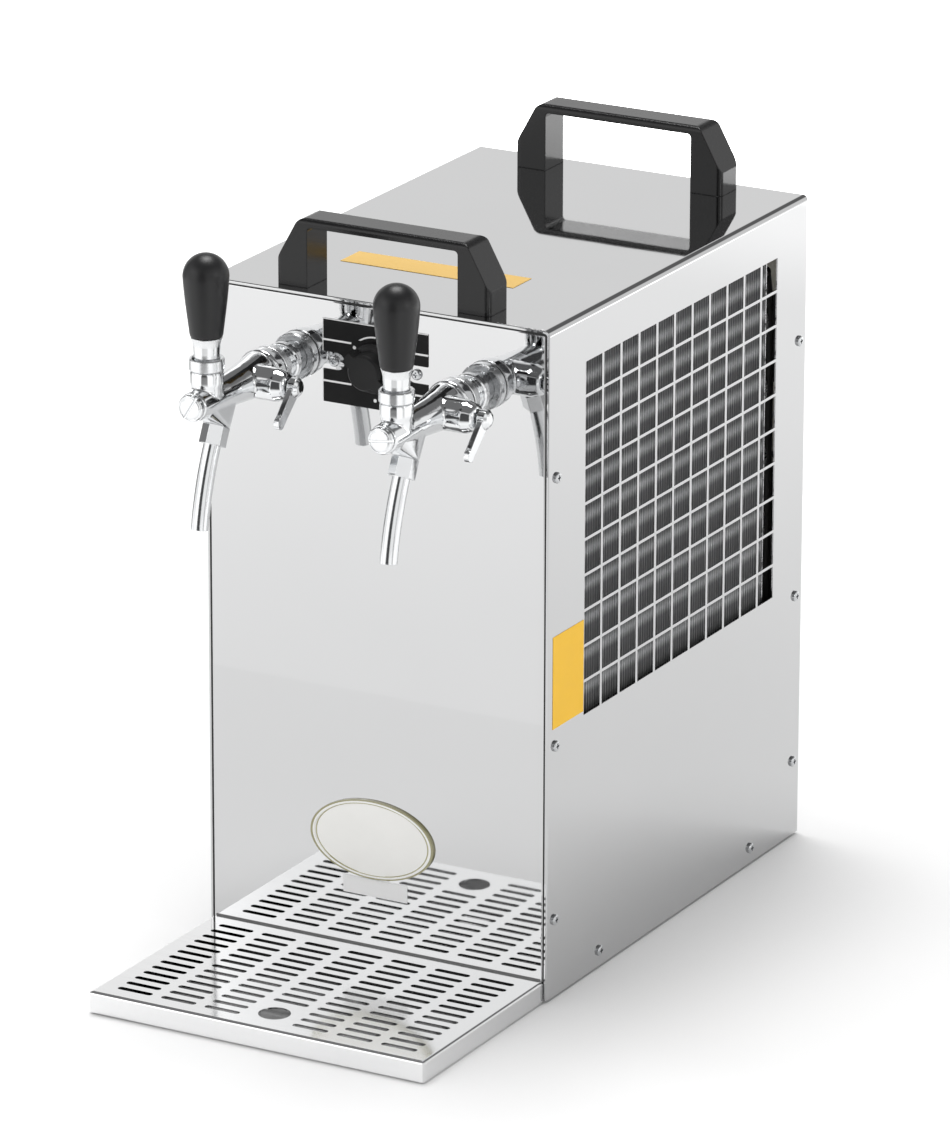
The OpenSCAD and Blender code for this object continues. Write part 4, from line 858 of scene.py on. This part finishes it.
class DISPENSER_OT_stage(bpy.types.Operator):
    """Makes the floor, the light and the camera"""
    bl_idname = "dispenser.stage"
    bl_label = "Stage"

    def execute(self, context):
        scene = context.scene
        stage = scene.dispenser_stage
        scene.view_settings.view_transform = "Standard"
        self.floor(scene, stage)
        self.world(scene, stage)
        aim = Vector((0.0, 0.0, 0.25))
        self.lamp(scene, "Key lamp", Vector((-0.35, 0.5, 2.9)), aim, size=1.2, power=stage.key)
        self.lamp(scene, "Left screen", Vector((-1.37, -2.5, 1.0)), aim, size=1.6, power=stage.screen)
        self.lamp(scene, "Right lamp", Vector((2.8, -0.5, 1.2)), aim, size=0.45, power=stage.fill)
        self.camera(scene, stage)
        return {"FINISHED"}

    def floor(self, scene, stage):
        """Large pale floor just under the feet, which takes the soft shadow."""
        half_side, squares, drop = 14.0, 8, 0.0005
        made = bmesh.new()
        bmesh.ops.create_grid(made, x_segments=squares, y_segments=squares, size=half_side)
        mesh = bpy.data.meshes.new("Floor")
        made.to_mesh(mesh)
        made.free()
        plane = bpy.data.objects.new("Floor", mesh)
        plane.location.z = -drop
        scene.collection.objects.link(plane)
        wear(self.paper(stage), plane)

    def paper(self, stage):
        """Floor material: pale, with a glow of its own and dark gaps that only the shiny metal shows."""
        gap_reach, gap_soft = (0.75, 2.0), math.radians(7.0)
        material, tree = tree_of("Floor paper")
        x, y, _ = position(tree)
        away = reach(tree, x, y)
        cloud, _ = use_group(tree, "Blotches", Scale=0.7, Fine=60.0)
        tone = uneven_colour(tree, cloud, (stage.floor,) * 3, dark=1.0, pale=1.02)
        pale = add(tree, "ShaderNodeBsdfDiffuse", {"Color": tone}).outputs[0]
        glow = add(tree, "ShaderNodeEmission", {"Strength": self.glow(tree, y, away, stage)}).outputs[0]
        lit = add(tree, "ShaderNodeAddShader", {0: pale, 1: glow}).outputs[0]
        dark = add(tree, "ShaderNodeBsdfDiffuse", {"Color": rgba(FLOOR_DARK)}).outputs[0]
        shiny = add(tree, "ShaderNodeLightPath").outputs["Is Glossy Ray"]
        shade = product(tree, self.gaps(tree, x, y, gap_soft), ramp(tree, away, *gap_reach), shiny)
        seen = add(tree, "ShaderNodeMixShader", {0: shade, 1: lit, 2: dark}).outputs[0]
        add(tree, "ShaderNodeOutputMaterial", {"Surface": seen})
        return material

    def glow(self, tree, y, away, stage):
        """Strength of the floor's own light: by the object's front, far from it and in a strip behind it.

        Each pair says where a part starts and where it is full.
        """
        front_edge, front_glow = PANEL_Y - 0.51, 0.05
        apron_front, apron_reach = (PANEL_Y, PANEL_Y - 0.12), (1.5, 0.7)
        sweep_reach = (0.45, 2.0)
        strip_near, strip_far = (1.80, 1.90), (2.6, 2.3)
        dawn_near, dawn_share = (1.48, 1.78), 0.1
        front = product(tree, math_node(tree, "LESS_THAN", y, front_edge), front_glow)
        apron = product(tree, ramp(tree, y, *apron_front), ramp(tree, away, *apron_reach), stage.apron)
        sweep = product(tree, ramp(tree, away, *sweep_reach), stage.sweep)
        strip = product(tree, ramp(tree, y, *strip_near), ramp(tree, y, *strip_far))
        dawn = product(tree, ramp(tree, y, *dawn_near), dawn_share)
        behind = product(tree, math_node(tree, "ADD", strip, dawn), stage.strip)
        near = math_node(tree, "ADD", front, apron)
        far = math_node(tree, "ADD", sweep, behind)
        return math_node(tree, "ADD", near, far)

    def turn_of(self, tree, x, y):
        """Turn of a place from straight ahead of the panel, in radians, growing to the right."""
        return math_node(tree, "ARCTAN2", x, product(tree, y, -1.0))

    def gaps(self, tree, x, y, soft):
        """Mask of the dark gaps between the studio's screens, with edges of a given softness."""
        turn = self.turn_of(tree, x, y)
        total = 0.0
        for first, last, depth in GAPS:
            start, end = math.radians(first), math.radians(last)
            opening = ramp(tree, turn, start - soft, start)
            closing = ramp(tree, turn, end + soft, end)
            total = math_node(tree, "ADD", product(tree, opening, closing, depth), total)
        return total

    def world(self, scene, stage):
        """White surroundings, with the dark parts of the studio that only the shiny metal shows."""
        shiny_lift = 0.24
        world = bpy.data.worlds.new("Studio")
        scene.world = world
        world.use_nodes = True
        tree = world.node_tree
        tree.nodes.clear()
        side, back, up = position(tree, "Generated")
        ray = add(tree, "ShaderNodeLightPath").outputs
        shiny = ray["Is Glossy Ray"]
        dark = self.dark_parts(tree, side, back, up)
        studio = mix_colour(tree, dark, rgba(WHITE), rgba(STUDIO_DARK))
        tone = mix_colour(tree, shiny, rgba(WHITE), studio)
        sky = math_node(tree, "ADD", stage.sky, product(tree, shiny, shiny_lift))
        board = product(tree, self.board(tree, side, back, up), shiny)
        level = product(tree, sky, math_node(tree, "ADD", board, 1.0))
        level = either(tree, level, ray["Is Camera Ray"])
        surround = add(tree, "ShaderNodeBackground", {"Color": tone, "Strength": level}).outputs[0]
        add(tree, "ShaderNodeOutputWorld", {"Surface": surround})

    def dark_parts(self, tree, side, back, up):
        """Mask of the studio's dark parts: gaps between its screens, the loft at the back and the ceiling.

        Each pair says where a part starts and where it is full, in shares of the way up or back.
        """
        gap_top, gap_soft = (0.60, 0.56), math.radians(1.5)
        loft_back, loft_foot, loft_top = (0.1, 0.4), (0.36, 0.46), (0.85, 0.7)
        ceiling_foot, depth = (0.60, 0.70), 0.85
        gaps = product(tree, self.gaps(tree, side, back, gap_soft), ramp(tree, up, *gap_top))
        loft = product(tree, ramp(tree, back, *loft_back), ramp(tree, up, *loft_foot))
        loft = product(tree, loft, ramp(tree, up, *loft_top), depth)
        ceiling = product(tree, ramp(tree, up, *ceiling_foot), depth)
        return either(tree, gaps, loft, ceiling)

    def board(self, tree, side, back, up):
        """Extra light of the screen at the front left, which the grate mirrors.

        It is bright up to its edge and a little dimmer than the rest beyond it.
        """
        first, edge, last, soft = (math.radians(a) for a in (-58.0, -31.0, -17.0, 0.3))
        softer = 10 * soft
        gain, loss = 0.95, 0.08
        foot, top = (0.22, 0.27), (0.50, 0.45)
        turn = self.turn_of(tree, side, back)
        bright = product(tree, ramp(tree, turn, first, first + softer),
                         ramp(tree, turn, edge + soft, edge - soft), gain)
        dim = product(tree, ramp(tree, turn, edge - soft, edge + soft),
                      ramp(tree, turn, last, last - softer), loss)
        level = math_node(tree, "SUBTRACT", bright, dim)
        height = product(tree, ramp(tree, up, *foot), ramp(tree, up, *top))
        return product(tree, level, height)

    def lamp(self, scene, name, place, aim, size, power):
        """One soft square lamp turned to the object."""
        data = bpy.data.lights.new(name, "AREA")
        data.size = size
        data.energy = power
        lamp = bpy.data.objects.new(name, data)
        lamp.location = place
        lamp.rotation_mode = "QUATERNION"
        lamp.rotation_quaternion = (aim - place).to_track_quat("-Z", "Y")
        scene.collection.objects.link(lamp)

    def camera(self, scene, stage):
        """Camera at the photograph's angle, from its solved perspective."""
        place = (2.5298, -4.4442 + PANEL_Y, 2.0215)
        turn, drop, tilt = (math.radians(a) for a in (-28.872, 18.625, 0.142))
        data = bpy.data.cameras.new("Camera")
        data.sensor_width = 36.0
        data.lens = stage.lens
        data.clip_start = 0.1
        data.clip_end = 60.0
        camera = bpy.data.objects.new("Camera", data)
        scene.collection.objects.link(camera)
        ahead = Vector((math.sin(turn) * math.cos(drop), math.cos(turn) * math.cos(drop), -math.sin(drop)))
        roll = Matrix.Rotation(tilt, 4, "Z").to_quaternion()
        camera.rotation_mode = "QUATERNION"
        camera.rotation_quaternion = ahead.to_track_quat("-Z", "Y") @ roll
        camera.location = place
        scene.camera = camera


# Panel and start

class DISPENSER_PT_panel(bpy.types.Panel):
    """Lists the steps and the settings"""
    bl_idname = "DISPENSER_PT_panel"
    bl_label = "Dispenser"
    bl_space_type = "VIEW_3D"
    bl_region_type = "UI"
    bl_category = "Dispenser"

    def draw(self, context):
        for step in STEPS:
            self.layout.operator(step.bl_idname)
        for settings in (context.scene.dispenser_looks, context.scene.dispenser_stage):
            for name in settings.__annotations__:
                self.layout.prop(settings, name)


STEPS = (
    DISPENSER_OT_groups,
    DISPENSER_OT_casing,
    DISPENSER_OT_screws,
    DISPENSER_OT_handles,
    DISPENSER_OT_badge,
    DISPENSER_OT_thermostat,
    DISPENSER_OT_taps,
    DISPENSER_OT_tray,
    DISPENSER_OT_cooling,
    DISPENSER_OT_stage,
)
CLASSES = (Looks, StageSettings, *STEPS, DISPENSER_PT_panel)


def register():
    """Registers the classes and hangs the settings on the scene."""
    for item in CLASSES:
        bpy.utils.register_class(item)
    bpy.types.Scene.dispenser_looks = PointerProperty(type=Looks)
    bpy.types.Scene.dispenser_stage = PointerProperty(type=StageSettings)


def unregister():
    """Takes the settings and the classes away again."""
    del bpy.types.Scene.dispenser_stage
    del bpy.types.Scene.dispenser_looks
    for item in reversed(CLASSES):
        bpy.utils.unregister_class(item)


def main():
    """Runs each step in order."""
    register()
    for step in STEPS:
        family, name = step.bl_idname.split(".")
        getattr(getattr(bpy.ops, family), name)()


if __name__ == "__main__":
    main()
